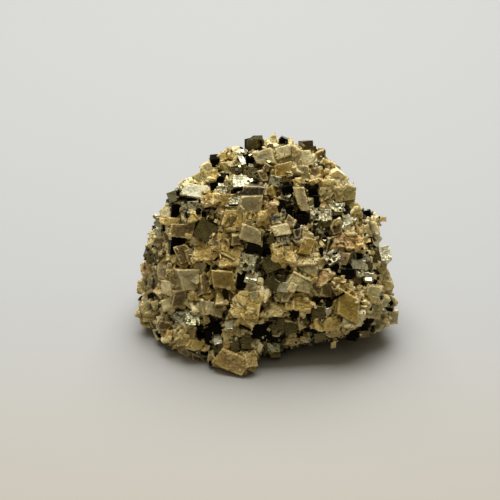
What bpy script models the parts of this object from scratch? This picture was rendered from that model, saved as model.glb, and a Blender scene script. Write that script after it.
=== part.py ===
"""Pyrite specimen: metallic pyrite cubes grown together with blocky tan rhombs, in one lump.

Units in the tables are millimetres; the model is in metres, +Z up.
The specimen rests on its broken underside, which lies in the plane Z = 0.
"""

import math
import random

import bmesh
import bpy
from mathutils import Matrix, Quaternion, Vector
from mathutils.bvhtree import BVHTree

MM = 0.001

SPECIMEN = "pyrite_specimen"

# The block that trims the underside flat reaches this far sideways and down.
TRIM_REACH = 80.0
TRIM_DEPTH = 20.0

# The front crystals are set out on a plane that leans back, seen square on from VIEW_DISTANCE.
# u runs right along X, v runs up the plane from the toe of the foot.
TOE_Y = -32.0
LEAN = math.radians(30.0)
VIEW_U = -4.8
VIEW_V = 38.55
VIEW_DISTANCE = 600.0
STEP_TO_MASS = 0.5
MASS_MIDDLE = Vector((-1.0, 34.0))

RIGHT = Vector((1.0, 0.0, 0.0))
UP = Vector((0.0, math.sin(LEAN), math.cos(LEAN)))
OUT = Vector((0.0, -math.cos(LEAN), math.sin(LEAN)))

# Corners of the massive lumps under the crystals: X, Y, Z.
CORE = [
    # the broken underside
    (-6, -22, 0), (-24, -17.5, 0), (-34, -2, 0), (-32, 18, 0), (-16, 30, 0), (8, 32, 0),
    (25, 25, 0), (31, 6, 0), (25, -8, 0), (9, -14, 0),
    # the undercut edge, a little above it
    (-29, -13.5, 2), (-35, -5, 6), (-37.5, 4, 12), (-34, 20, 8), (6, -20, 6), (19, -19.5, 6),
    (29, -15.5, 8), (36, -9, 9), (37.5, 2, 8), (34, 18, 8), (10, 33, 8), (-16, 32, 8),
    # the belly
    (-27, -17, 10), (-10, -24, 12), (6, -23.5, 14), (22, -21, 15), (33, -13, 18), (36.5, 0, 18),
    (33, 17, 20), (24, 27, 20), (12, 32, 22), (-14, 32, 20), (-28, 25, 20), (-36, 8, 22),
    (-37, 0, 22), (-31, -11, 20),
    # the shoulders
    (-31, 1, 36), (-25, -7, 34), (-8, -13, 36), (8, -14, 35), (22, -9, 34), (31, -2, 32),
    (30, 8, 34), (25, 21, 33), (4, 29, 35), (-16, 26, 35), (-29, 13, 33),
    # the crest
    (-25.5, 3, 43), (-16, -3, 47.5), (-2, -3, 51), (10, -3, 49), (20, -1, 45), (26, 4, 42),
    (-15, 8, 50.8), (-4, 9, 55.6), (4, 10, 57), (11, 10, 55.5), (18, 9, 50.5), (9, 20, 50),
    (-8, 21, 48), (18, 17, 45), (-21, 12, 42.5),
]
FOOT = [
    (-15, -24.5, 0), (-6, -31.3, 0), (-3, -27, 0), (-2, -18, 0), (-16, -16, 0),
    (-15.5, -25, 4.5), (-6.5, -31.2, 2.5), (-3.2, -28.5, 4), (-3, -25, 8), (-13, -24.5, 8),
    (-8, -18, 16),
]
LEFT_TOE = [
    (-31.5, -12, 0.5), (-25.5, -16.8, 0), (-20, -21.5, 0), (-19, -22, 5), (-27, -19, 5),
    (-34, -10.5, 6), (-33, -7, 14), (-21, -18, 13), (-22, -5, 10),
]
RIGHT_CORNER = [
    (22, -20.5, 8), (29, -18, 7.5), (37.5, -10.5, 7), (38.5, -3, 8), (38, -9, 13.5),
    (34, -15.5, 13), (25, -21, 18), (33, -14, 20), (22, -8, 20), (24, -6, 6),
]
CHIPS = [
    # shallow hollows where the underside broke away: a small roof and a wide mouth
    [(-24, 8, 2.2), (-17, 4, 2.4), (-14, 13, 2.2), (-21, 17, 1.9), (-33, 6, -0.5),
     (-22, -7, -0.5), (-6, 1, -0.5), (-8, 19, -0.5), (-20, 27, -0.5), (-31, 18, -0.5)],
    [(13, 14, 2.4), (20, 8, 2.0), (20, 17, 2.2), (5, 12, -0.5), (14, 0, -0.5), (28, 3, -0.5),
     (29, 18, -0.5), (17, 27, -0.5), (6, 22, -0.5)],
    [(2, -14, 1.6), (7, -12, 1.8), (3, -9, 1.5), (-6, -16, -0.5), (2, -21, -0.5),
     (14, -14, -0.5), (11, -5, -0.5), (-1, -4.5, -0.5)],
]
CREST = [
    (-4, 4, 54), (2, 6, 58.6), (9, 8, 58), (13.5, 9, 56), (6, 14, 56), (-3, 12, 55), (4, -1, 53),
    (10, 0, 52), (0, 8, 45), (12, 12, 46),
]


def layout_point(u, v):
    """The point of the layout plane at u, v."""
    return Vector((0.0, TOE_Y, 0.0)) + RIGHT * u + UP * v


VIEW_POINT = layout_point(VIEW_U, VIEW_V) + OUT * VIEW_DISTANCE


def clear_scene():
    for obj in list(bpy.data.objects):
        bpy.data.objects.remove(obj, do_unlink=True)


def add_object(name, mesh):
    obj = bpy.data.objects.new(name, mesh)
    bpy.context.scene.collection.objects.link(obj)
    return obj


def hide_as_guide(obj):
    obj.hide_render = True
    obj.display_type = "WIRE"
    return obj


def lump(name, corners):
    """A convex lump through its outermost corners."""
    bm = bmesh.new()
    for corner in corners:
        bm.verts.new(Vector(corner) * MM)
    hull = bmesh.ops.convex_hull(bm, input=bm.verts[:])
    inside = {item for item in hull["geom_interior"] if isinstance(item, bmesh.types.BMVert)}
    inside.update(item for item in hull["geom_unused"] if isinstance(item, bmesh.types.BMVert))
    bmesh.ops.delete(bm, geom=list(inside), context="VERTS")
    bmesh.ops.recalc_face_normals(bm, faces=bm.faces[:])
    mesh = bpy.data.meshes.new(name)
    bm.to_mesh(mesh)
    bm.free()
    return add_object(name, mesh)


# The front crystals: shape, u, v, width, height, roll, pitch, yaw, proud.
# Width and height are those of the face that looks out, as seen along the layout's line of sight.
# Roll turns it on the plane, pitch tips it to look up, yaw turns it to look right, in degrees.
# Proud is how far it stands in front of the mass.
FRONT = [
    # crest
    ("cube", -4.7, 70.4, 3.2, 2.8, 0, -15, -20, 2.2),
    ("cube", -2.2, 69.2, 2.4, 3.4, 0, -10, 25, 1.8),
    ("rhomb", -9.4, 68.4, 4.0, 2.4, 10, 10, 0, 1.6),
    ("rhomb", -12.6, 66.6, 4.2, 3.0, 30, 10, -10, 1.6),
    ("rhomb", 0.9, 70.8, 4.4, 2.2, -5, 15, 0, 2.2),
    ("rhomb", 2.3, 72.0, 2.2, 2.4, 40, 0, 0, 1.6),
    ("cube", 5.4, 71.2, 3.0, 1.8, -22, -20, 0, 1.6),
    ("rhomb", 5.2, 67.9, 4.4, 3.4, 22, 10, 0, 2.2),
    ("rhomb", 8.9, 70.4, 4.8, 3.6, -5, 5, 5, 2.0),
    ("cube", 12.7, 69.8, 3.1, 3.1, 5, -10, 10, 2.2),
    ("rhomb", 10.6, 66.3, 6.4, 4.0, 0, 12, 0, 1.4),
    ("rhomb", 16.8, 66.8, 3.4, 3.0, 20, 0, 12, 1.6),
    ("rhomb", -0.6, 66.6, 6.0, 4.2, 4, 0, -5, 2.2),
    ("cube", -4.9, 65.2, 2.0, 3.2, 5, -5, 15, 1.6),
    ("cube", -7.6, 66.4, 1.4, 3.4, 28, 0, -20, 1.8),
    ("cube", -15.2, 64.3, 3.0, 3.2, 8, -10, -15, 2.2),
    ("rhomb", -11.4, 63.4, 3.0, 2.8, 5, -5, 0, 2.0),
    ("rhomb", -18.1, 63.0, 3.4, 2.8, 25, 5, -15, 1.8),
    ("rhomb", 18.1, 63.4, 4.4, 3.8, -32, 0, 20, 1.8),
    ("rhomb", 21.2, 60.2, 4.0, 3.8, -40, 0, 22, 1.8),
    # left shoulder
    ("rhomb", -20.0, 60.0, 6.4, 3.6, 25, 10, -10, 1.8),
    ("rhomb", -20.6, 56.4, 8.6, 3.8, -8, 12, -5, 2.6),
    ("rhomb", -24.6, 58.2, 3.6, 3.2, 30, 5, -20, 1.4),
    ("cube", -15.7, 57.7, 2.2, 2.4, 10, -15, 10, 1.8),
    ("cube", -13.8, 59.6, 2.2, 2.2, -12, -10, -10, 1.8),
    ("rhomb", -15.8, 60.9, 3.6, 3.0, 20, 5, 0, 1.4),
    ("cube", -13.2, 56.6, 2.9, 2.4, 6, 10, 0, 2.0),
    ("cube", -27.8, 54.6, 3.5, 3.4, 20, 0, -25, 2.2),
    ("cube", -24.0, 54.2, 3.2, 2.2, 5, -15, 10, 1.2),
    ("cube", -21.8, 51.6, 7.2, 3.2, 4, 8, 0, 2.0),
    ("cube", -26.8, 50.2, 3.0, 4.2, -6, -5, 15, 1.2),
    ("rhomb", -29.7, 50.0, 4.2, 3.6, 35, 10, -25, 1.6),
    ("rhomb", -28.9, 47.3, 6.2, 2.2, -3, 15, -10, 2.0),
    ("rhomb", -20.6, 48.6, 5.4, 2.8, 10, 15, 0, 1.8),
    # upper middle
    ("cube", -7.8, 59.2, 4.4, 3.4, 6, 12, 0, 2.8),
    ("cube", -8.8, 62.8, 3.4, 2.4, 12, 0, 0, 1.6),
    ("cube", -4.6, 62.2, 4.2, 2.6, -5, 5, 0, 1.6),
    ("rhomb", -3.9, 56.0, 6.0, 3.2, -3, -10, 0, 2.4),
    ("rhomb", -0.6, 61.0, 3.0, 3.2, 10, 0, 0, 1.6),
    ("cube", 2.6, 59.2, 3.0, 3.0, -12, -5, 10, 2.2),
    ("cube", -9.4, 53.2, 3.6, 2.4, 2, 5, 0, 2.4),
    ("rhomb", -4.4, 52.2, 6.4, 4.6, -3, -2, 8, 2.8),
    ("rhomb", -14.2, 53.6, 7.0, 3.4, -4, 12, 0, 1.8),
    ("rhomb", 5.0, 62.6, 5.2, 4.0, 12, 8, 0, 1.4),
    ("rhomb", 11.7, 61.8, 3.2, 3.6, -4, -2, -8, 2.2),
    ("rhomb", 15.0, 61.8, 4.6, 3.2, 6, -8, 0, 2.0),
    ("rhomb", 18.1, 62.4, 2.2, 3.6, -18, 0, 15, 1.8),
    ("rhomb", 14.6, 59.0, 11.0, 1.8, -3, 20, 0, 2.6),
    ("rhomb", 10.6, 53.9, 3.3, 7.0, 2, -8, 10, 3.0),
    ("cube", 14.2, 56.1, 2.2, 2.4, 6, -10, 0, 1.4),
    ("cube", 14.9, 53.3, 2.0, 3.2, -6, -8, 0, 1.6),
    ("rhomb", 17.6, 55.6, 3.6, 3.4, 4, 0, 0, 2.6),
    ("rhomb", 21.5, 55.2, 3.4, 4.2, -2, 0, 5, 2.4),
    ("rhomb", 24.9, 56.0, 4.6, 4.8, 12, 0, 18, 2.2),
    ("rhomb", 21.4, 59.9, 4.6, 3.4, -20, 8, 10, 1.6),
    ("rhomb", 17.2, 52.6, 2.2, 2.6, -6, 5, 0, 1.8),
    # right shoulder
    ("rhomb", 26.5, 51.4, 5.0, 3.8, -8, 8, 12, 2.0),
    ("cube", 30.4, 48.8, 2.4, 3.4, 12, -5, 15, 1.6),
    ("rhomb", 30.4, 45.3, 7.2, 4.2, -4, 2, 8, 2.6),
    ("rhomb", 33.4, 46.8, 2.4, 4.0, -12, 0, 25, 1.8),
    ("rhomb", 24.6, 41.6, 9.2, 4.4, -2, 15, 0, 2.8),
    ("rhomb", 21.0, 45.0, 3.6, 3.8, 22, -4, 0, 2.4),
    ("cube", 23.8, 47.4, 3.8, 3.0, 25, 10, 5, 1.8),
    ("cube", 16.5, 49.4, 6.6, 3.6, 2, 8, 0, 1.8),
    ("cube", 21.4, 51.4, 3.4, 2.6, -10, 5, 0, 1.6),
    ("cube", 10.8, 47.6, 4.2, 3.2, 0, -10, 0, 1.0),
    ("cube", 15.2, 46.6, 2.6, 2.4, 0, 0, 0, 1.4),
    ("cube", 18.2, 46.8, 2.8, 2.6, 20, -5, 0, 1.0),
    ("cube", 33.1, 41.6, 2.8, 3.4, -35, 5, 15, 1.8),
    ("cube", 35.8, 37.6, 3.4, 4.6, 12, 5, 10, 2.4),
    ("cube", 32.9, 36.6, 2.4, 4.2, 8, -8, 0, 1.6),
    ("cube", 28.2, 37.0, 4.8, 4.6, 15, 5, 0, 1.8),
    ("cube", 27.6, 34.2, 4.2, 2.6, -6, 10, 0, 1.8),
    ("cube", 30.8, 30.4, 3.0, 2.6, -8, 15, 0, 2.2),
    ("cube", 28.2, 31.8, 2.6, 2.6, 20, 0, -10, 1.8),
    ("rhomb", 35.0, 33.2, 3.6, 3.4, 25, 0, 15, 1.8),
    # heart
    ("rhomb", -4.2, 43.3, 6.2, 4.6, -20, -4, 5, 3.0),
    ("rhomb", -8.8, 41.6, 3.0, 3.0, 10, -10, -10, 1.8),
    ("cube", -3.4, 38.6, 5.0, 3.2, -18, -15, 0, 1.2),
    ("cube", 1.5, 41.8, 3.8, 3.0, -4, -8, 10, 2.0),
    ("rhomb", 4.7, 44.4, 4.8, 3.2, 10, 8, 0, 2.6),
    ("cube", 5.1, 41.3, 3.8, 2.2, 4, 0, 0, 1.8),
    ("rhomb", 7.5, 47.0, 3.0, 2.8, -30, 5, 0, 1.8),
    ("rhomb", 9.2, 43.6, 2.8, 3.0, 12, -8, 0, 2.0),
    ("rhomb", 2.0, 51.0, 3.6, 3.0, -8, 0, 5, 2.0),
    ("rhomb", -1.8, 48.8, 3.8, 3.0, 8, 10, 0, 1.8),
    ("rhomb", 3.2, 47.8, 3.6, 2.4, 12, 5, 0, 1.6),
    ("rhomb", -9.6, 47.4, 6.4, 5.8, 0, 2, 0, 2.0),
    ("cube", -18.0, 44.4, 6.0, 5.6, -30, 5, 0, 2.0),
    ("rhomb", -25.4, 44.4, 7.6, 4.2, -3, -4, -8, 2.8),
    ("cube", -27.2, 40.0, 2.6, 5.6, -6, -5, 12, 1.6),
    ("rhomb", -31.9, 41.3, 4.4, 2.9, 8, 0, -15, 2.0),
    ("cube", -32.2, 46.8, 2.4, 2.9, -12, 0, -25, 1.8),
    ("rhomb", -33.9, 43.0, 2.8, 3.2, 20, 5, -25, 1.6),
    ("rhomb", -34.3, 39.4, 3.4, 3.4, 25, 5, -20, 1.6),
    ("cube", -34.9, 36.4, 3.0, 2.8, 35, -5, -15, 2.0),
    ("cube", -31.2, 35.4, 2.6, 2.6, 12, -5, 0, 1.8),
    ("rhomb", -36.4, 33.2, 3.2, 3.6, 15, 5, -25, 1.8),
    ("rhomb", -32.6, 32.2, 3.0, 3.4, 8, -10, -10, 2.0),
    ("rhomb", -28.4, 34.9, 3.0, 4.8, 6, 5, -5, 2.4),
    ("rhomb", -24.6, 37.4, 4.2, 5.4, 12, 0, 8, 1.8),
    ("rhomb", -18.8, 37.8, 6.8, 4.6, 4, 12, 0, 1.6),
    ("rhomb", -13.8, 41.0, 4.8, 4.8, -12, 10, 5, 2.0),
    ("rhomb", -10.8, 36.6, 6.2, 5.0, 8, 8, 0, 1.6),
    ("cube", -5.4, 34.8, 4.6, 5.2, -12, 6, 0, 2.2),
    ("cube", 1.4, 34.2, 4.8, 4.4, 24, 0, 0, 1.4),
    ("rhomb", 5.6, 37.6, 6.4, 4.4, -6, 10, 0, 1.8),
    ("rhomb", 12.2, 39.8, 4.0, 4.4, -8, 0, 5, 2.2),
    ("rhomb", 12.6, 43.2, 3.4, 2.6, -30, 8, 0, 1.8),
    ("rhomb", 11.4, 35.8, 8.0, 3.2, 0, 15, 0, 1.8),
    ("cube", 19.6, 36.4, 4.0, 3.6, 35, 8, 0, 2.0),
    ("rhomb", 23.4, 35.8, 3.0, 3.6, 0, -5, 0, 1.6),
    ("cube", 19.8, 33.1, 4.4, 2.0, -2, -12, 0, 1.2),
    ("cube", 24.2, 31.6, 4.8, 2.6, -3, -12, 0, 1.2),
    # middle belt
    ("rhomb", -22.4, 29.6, 6.8, 5.4, 0, -6, 20, 3.2),
    ("rhomb", -18.2, 28.6, 2.6, 6.0, 18, 0, 35, 2.0),
    ("rhomb", -12.9, 29.8, 7.0, 5.2, -8, -4, 0, 3.0),
    ("cube", -7.4, 29.6, 2.8, 5.2, -4, -8, 5, 1.8),
    ("cube", -4.4, 30.2, 3.6, 3.4, -16, 5, 0, 2.2),
    ("cube", 1.6, 28.5, 4.2, 3.4, -28, -12, 0, 2.4),
    ("rhomb", -0.8, 25.8, 4.2, 4.6, -35, 8, 0, 2.2),
    ("rhomb", -4.7, 27.3, 3.4, 2.2, -8, 5, 0, 2.0),
    ("rhomb", 12.9, 32.2, 5.2, 4.2, -22, 4, 0, 2.8),
    ("rhomb", 10.2, 28.4, 7.2, 5.2, -12, -8, 0, 3.0),
    ("cube", 5.0, 27.4, 3.4, 3.0, -6, 6, -8, 2.4),
    ("rhomb", 17.2, 30.4, 3.8, 4.4, 10, 2, 5, 1.8),
    ("rhomb", 22.0, 29.2, 3.8, 3.2, -6, 2, 0, 2.2),
    ("cube", 18.4, 26.2, 4.0, 4.6, 6, -4, 0, 1.4),
    ("rhomb", 24.6, 27.0, 4.4, 2.6, 24, 5, 0, 2.0),
    ("rhomb", -36.2, 28.2, 5.6, 4.2, 12, 8, -18, 1.8),
    ("rhomb", -30.0, 27.2, 3.6, 4.0, -12, 5, -8, 1.8),
    ("rhomb", -26.0, 24.0, 4.0, 5.2, 4, -8, 0, 2.4),
    ("rhomb", -20.8, 25.0, 5.2, 3.2, 6, 12, 0, 1.8),
    ("rhomb", -29.6, 22.2, 3.4, 3.8, 24, 10, 0, 2.4),
    ("rhomb", -35.5, 20.9, 4.0, 4.4, -2, -4, -10, 2.4),
    ("rhomb", -38.3, 23.4, 2.4, 5.0, -4, 0, -35, 1.6),
    ("rhomb", 36.2, 29.4, 4.2, 6.0, 2, 5, 22, 2.0),
    ("rhomb", 32.0, 25.4, 3.8, 5.0, -6, -2, 5, 2.4),
    ("rhomb", 28.2, 24.9, 3.2, 2.6, 0, -6, 0, 2.4),
    ("cube", 36.4, 25.0, 3.4, 3.2, -35, 5, 12, 1.8),
    # lower belt
    ("rhomb", -16.0, 20.6, 6.2, 4.4, -12, -6, 0, 3.0),
    ("rhomb", -12.8, 24.4, 4.2, 4.0, 5, 8, 5, 2.0),
    ("rhomb", -16.8, 24.6, 3.8, 2.8, 12, 10, 0, 1.8),
    ("rhomb", -5.8, 22.2, 8.2, 7.4, -8, 8, 0, 3.4),
    ("rhomb", -2.6, 24.0, 3.0, 4.4, 4, -6, 15, 2.8),
    ("rhomb", 9.8, 21.8, 8.2, 3.0, -6, 18, 0, 2.4),
    ("rhomb", 10.4, 24.0, 4.0, 3.0, 4, -2, 0, 2.0),
    ("rhomb", 6.0, 24.6, 2.6, 3.0, 6, -6, -5, 2.2),
    ("rhomb", 24.4, 21.8, 7.6, 7.2, -22, -4, 0, 4.0),
    ("rhomb", 26.2, 17.2, 6.8, 4.2, 6, -35, 6, 3.4),
    ("rhomb", 36.4, 18.2, 7.2, 4.6, -8, -6, 14, 2.4),
    ("cube", 34.6, 22.2, 4.4, 3.4, -4, 2, 5, 1.6),
    ("rhomb", 38.0, 22.2, 3.2, 3.6, -30, 5, 22, 1.6),
    ("rhomb", 33.2, 15.6, 3.6, 2.8, -20, -15, 5, 1.8),
    ("rhomb", 18.2, 16.2, 7.2, 3.8, -2, -6, 0, 2.8),
    ("cube", 15.6, 19.6, 4.2, 4.0, 6, 2, 0, 1.6),
    ("cube", 8.3, 19.6, 2.8, 2.6, -6, -12, -5, 1.8),
    ("rhomb", 2.6, 20.2, 5.2, 3.6, 3, 6, 0, 2.0),
    ("cube", 11.6, 18.0, 2.8, 2.8, 0, -6, 0, 1.6),
    ("cube", 3.4, 16.2, 4.2, 3.2, 5, -8, 0, 1.8),
    ("cube", 7.4, 15.4, 3.8, 3.6, 5, -8, 0, 1.4),
    ("cube", -22.0, 18.2, 4.4, 4.4, -2, 8, 0, 2.8),
    ("rhomb", -21.6, 21.6, 2.0, 2.6, 3, 12, 5, 2.8),
    ("cube", -25.8, 18.0, 3.6, 4.0, 8, 0, -5, 1.8),
    ("rhomb", -30.9, 18.2, 2.4, 4.8, -28, 8, -15, 2.2),
    ("rhomb", -30.1, 15.7, 4.4, 3.2, -6, -10, -5, 2.4),
    ("rhomb", -32.2, 13.2, 3.4, 3.4, 10, -6, -10, 2.0),
    ("rhomb", -28.4, 12.6, 3.0, 3.2, -8, 0, 0, 2.2),
    ("rhomb", -35.6, 17.0, 3.8, 2.8, -4, 0, -15, 1.8),
    ("rhomb", -17.8, 17.2, 2.4, 2.6, -20, -5, 0, 2.4),
    ("cube", -15.2, 15.2, 4.2, 2.8, -12, -12, 0, 1.4),
    ("cube", -17.2, 12.0, 2.2, 5.0, 2, -8, 5, 1.2),
    ("cube", -11.1, 16.0, 2.4, 2.4, 2, 10, 0, 2.8),
    ("cube", -14.4, 11.9, 2.4, 2.4, 4, 15, 0, 1.8),
    ("rhomb", -11.4, 12.6, 2.8, 4.2, -3, -4, -5, 2.6),
    ("rhomb", -6.6, 16.6, 4.6, 3.0, -22, -6, 0, 2.6),
    ("rhomb", -6.6, 14.2, 4.0, 2.2, 4, 6, 0, 2.0),
    ("cube", -1.6, 14.3, 4.8, 3.6, 18, -15, 0, 1.8),
    # foot and underside edge
    ("rhomb", -15.6, 5.0, 4.6, 3.0, -16, -10, -8, 1.4),
    ("rhomb", -12.4, 4.8, 5.2, 4.4, -14, -10, -12, 1.6),
    ("rhomb", -6.6, 3.6, 5.2, 4.8, -24, -6, 0, 1.4),
    ("rhomb", -4.2, 5.8, 3.0, 4.4, 20, -6, 28, 1.2),
    ("cube", -28.2, 9.4, 3.6, 2.4, -28, -10, -5, 1.8),
    ("rhomb", -24.4, 7.6, 4.2, 2.4, -24, -12, 0, 1.8),
    ("rhomb", -20.4, 5.8, 4.0, 2.2, -8, -20, 0, 1.4),
    ("rhomb", -37.4, 19.6, 3.0, 3.2, -20, -5, -30, 1.8),
    ("rhomb", 35.4, 16.0, 4.2, 2.6, 22, -20, 8, 1.6),
    ("rhomb", -24.0, 12.4, 5.6, 5.2, 10, -4, -8, 3.0),
    ("rhomb", -21.0, 10.2, 5.4, 3.2, -8, -12, 0, 2.0),
    ("cube", -14.0, 8.6, 3.6, 2.8, 6, -8, 0, 1.4),
    ("rhomb", -17.3, 7.4, 4.2, 2.6, -22, -4, 0, 1.8),
    ("cube", -9.4, 10.2, 2.8, 3.8, 10, 0, 0, 1.6),
    ("cube", -6.0, 11.2, 3.0, 4.8, 2, -5, 10, 2.0),
    ("rhomb", -3.2, 11.2, 2.0, 3.2, -4, 0, 0, 1.6),
    ("cube", -2.6, 8.8, 3.0, 2.8, -12, 5, 5, 1.8),
    ("cube", 2.2, 9.3, 4.0, 2.6, -1, 8, 0, 3.0),
    ("cube", 2.8, 7.4, 3.2, 2.4, 4, -8, 5, 2.0),
    ("rhomb", 8.2, 11.2, 4.6, 2.4, -4, -12, 0, 1.8),
    ("cube", 11.8, 11.8, 3.2, 2.2, 14, -6, 0, 1.8),
    ("cube", 2.8, 12.4, 5.0, 2.0, -3, -12, 0, 1.2),
    ("rhomb", 20.6, 13.2, 5.2, 2.4, -3, -15, 0, 2.2),
    ("cube", 16.2, 12.4, 3.6, 2.4, 4, -15, 0, 1.6),
    ("cube", 25.6, 12.6, 3.2, 2.6, -5, -15, 0, 1.2),
    ("cube", 29.2, 13.2, 3.6, 2.0, 3, -15, 0, 1.8),
    ("cube", 29.6, 17.0, 2.0, 4.4, 0, -10, 0, 1.0),
]

# Each front crystal is also turned by up to this much, up or down and left or right.
FRONT_SEED = 41
STRAY = 16.0

# Smaller crystals at every angle, bedded into the mass all over: how many places are tried,
# how far apart they sit, their width, and how deep their middle lies as a share of the width.
BED_SEED = 21
TRIES = 12000
ROUND_SPACING = 6.4
ROUND_WIDTH = (5.5, 10.5)
ROUND_BED = (0.22, 0.42)
FRONT_SPACING = 6.4
FRONT_WIDTH = (4.5, 7.0)
FRONT_BED = (0.34, 0.50)
ROUND_SHAPE = (0.7, 1.0)
CUBE_SHARE = 0.35
CUBE_SIZE = 0.72
LOWEST_RANDOM = 4.5
HIT_NEAR = 1.0

# A rhomb's front face leans over by this much, to one side or the other.
RHOMB_SKEW = 0.26
ROOT = 1.5


def cube_or_rhomb(bm, middle, across, along, out, size, depth, skew):
    """Add a block whose front face is centred on middle; size is the face's width and height."""
    width, height = size
    corners = []
    for back in (0.0, depth):
        for side, rise in ((-1, -1), (1, -1), (1, 1), (-1, 1)):
            slide = skew * rise * height / 2
            corners.append(bm.verts.new((
                middle + across * (side * width / 2 + slide) + along * (rise * height / 2)
                - out * back
            ) * MM))
    front, behind = corners[:4], corners[4:]
    bm.faces.new(front)
    bm.faces.new(behind[::-1])
    for index in range(4):
        after = (index + 1) % 4
        bm.faces.new((front[after], front[index], behind[index], behind[after]))


def turned_axes(roll, pitch, yaw):
    """The block's own axes after it is rolled, tipped up and turned right."""
    spin = Matrix.Rotation(math.radians(roll), 3, OUT)
    tip = Matrix.Rotation(math.radians(-pitch), 3, RIGHT)
    turn = Matrix.Rotation(math.radians(yaw), 3, UP)
    pose = spin @ tip @ turn
    return pose @ RIGHT, pose @ UP, pose @ OUT


def mass_in_front(tree, u, v):
    """Where the line of sight through u, v meets the mass, or comes nearest to it."""
    place = Vector((u, v))
    while True:
        target = layout_point(place.x, place.y)
        sight = (target - VIEW_POINT).normalized()
        hit = tree.ray_cast(VIEW_POINT * MM, sight)[0]
        if hit is not None:
            break
        place += (MASS_MIDDLE - place).normalized() * STEP_TO_MASS
    distance = (hit / MM - VIEW_POINT).length
    return VIEW_POINT + (layout_point(u, v) - VIEW_POINT).normalized() * distance


def front_crystals(bm, tree, rng):
    for number, row in enumerate(FRONT):
        shape, u, v, width, height, roll, pitch, yaw, proud = row
        pitch += rng.uniform(-STRAY, STRAY)
        yaw += rng.uniform(-STRAY, STRAY)
        across, along, out = turned_axes(roll, pitch, yaw)
        sight = (layout_point(u, v) - VIEW_POINT).normalized()
        middle = mass_in_front(tree, u, v) - sight * proud
        size = (width / math.cos(math.radians(yaw)), height / math.cos(math.radians(pitch)))
        skew = 0.0
        if shape == "rhomb":
            skew = RHOMB_SKEW if number % 2 else -RHOMB_SKEW
        depth = proud + ROOT + max(size) / 2
        cube_or_rhomb(bm, middle, across, along, out, size, depth, skew)


def surface_point(faces, reach, rng):
    """A random point of the mass, with its face's normal."""
    pick = rng.random() * reach[-1]
    low = next(index for index, total in enumerate(reach) if total >= pick)
    a, b, c = faces[low]
    s, t = rng.random(), rng.random()
    if s + t > 1:
        s, t = 1 - s, 1 - t
    return a + (b - a) * s + (c - a) * t, (b - a).cross(c - a).normalized()


def seen_from_front(tree, point, normal):
    sight = point - VIEW_POINT
    if normal.dot(sight) > 0:
        return False
    hit = tree.ray_cast(VIEW_POINT * MM, sight.normalized())[0]
    return hit is not None and (hit / MM - point).length < HIT_NEAR


def random_axes(rng):
    """Three axes at right angles, turned any way."""
    pose = Quaternion([rng.gauss(0, 1) for _ in range(4)]).normalized().to_matrix()
    return pose.col[0], pose.col[1], pose.col[2]


def bedded_crystals(bm, tree, mass, rng):
    """Crystals at every angle, all over the mass, smaller and deeper on the front."""
    mesh = mass.copy()
    bmesh.ops.triangulate(mesh, faces=mesh.faces[:])
    faces = [tuple(vert.co / MM for vert in face.verts) for face in mesh.faces]
    mesh.free()
    reach = []
    total = 0.0
    for a, b, c in faces:
        total += (b - a).cross(c - a).length
        reach.append(total)
    placed = []
    for _ in range(TRIES):
        point, normal = surface_point(faces, reach, rng)
        if point.z < LOWEST_RANDOM:
            continue
        front = seen_from_front(tree, point, normal)
        spacing = FRONT_SPACING if front else ROUND_SPACING
        if any((point - other).length < spacing for other in placed):
            continue
        placed.append(point)
        across, along, out = random_axes(rng)
        is_cube = rng.random() < CUBE_SHARE
        width = rng.uniform(*(FRONT_WIDTH if front else ROUND_WIDTH))
        width *= CUBE_SIZE if is_cube else 1.0
        height = width * rng.uniform(*ROUND_SHAPE)
        bed = rng.uniform(*(FRONT_BED if front else ROUND_BED))
        skew = 0.0 if is_cube else RHOMB_SKEW * rng.choice((-1, 1))
        middle = point - normal * width * bed + out * height / 2
        cube_or_rhomb(bm, middle, across, along, out, (width, height), height, skew)


def evaluated_bmesh(obj):
    bm = bmesh.new()
    bm.from_object(obj, bpy.context.evaluated_depsgraph_get())
    return bm


def add_boolean(obj, name, operand, operation, own_overlaps=False):
    modifier = obj.modifiers.new(name, "BOOLEAN")
    modifier.object = operand
    modifier.operation = operation
    modifier.solver = "EXACT"
    modifier.use_self = own_overlaps


def block(name, low, high):
    """A plain box between two corners."""
    corners = [(x, y, z) for x in (low[0], high[0]) for y in (low[1], high[1])
               for z in (low[2], high[2])]
    return lump(name, corners)


def outer_shell(bm):
    """Drop the small pockets that neighbouring crystals shut in, and keep the outside."""
    islands = []
    seen = set()
    for start in bm.faces:
        if start in seen:
            continue
        seen.add(start)
        island = [start]
        for face in island:
            for edge in face.edges:
                for other in edge.link_faces:
                    if other not in seen:
                        seen.add(other)
                        island.append(other)
        islands.append(island)
    outside = max(islands, key=len)
    inner = [face for island in islands if island is not outside for face in island]
    bmesh.ops.delete(bm, geom=inner, context="FACES")


def stone_material():
    material = bpy.data.materials.new("iron_stained_stone")
    material.use_nodes = True
    shader = material.node_tree.nodes["Principled BSDF"]
    shader.inputs["Base Color"].default_value = (0.30, 0.235, 0.12, 1.0)
    shader.inputs["Roughness"].default_value = 0.55
    shader.inputs["Metallic"].default_value = 0.1
    return material


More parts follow.
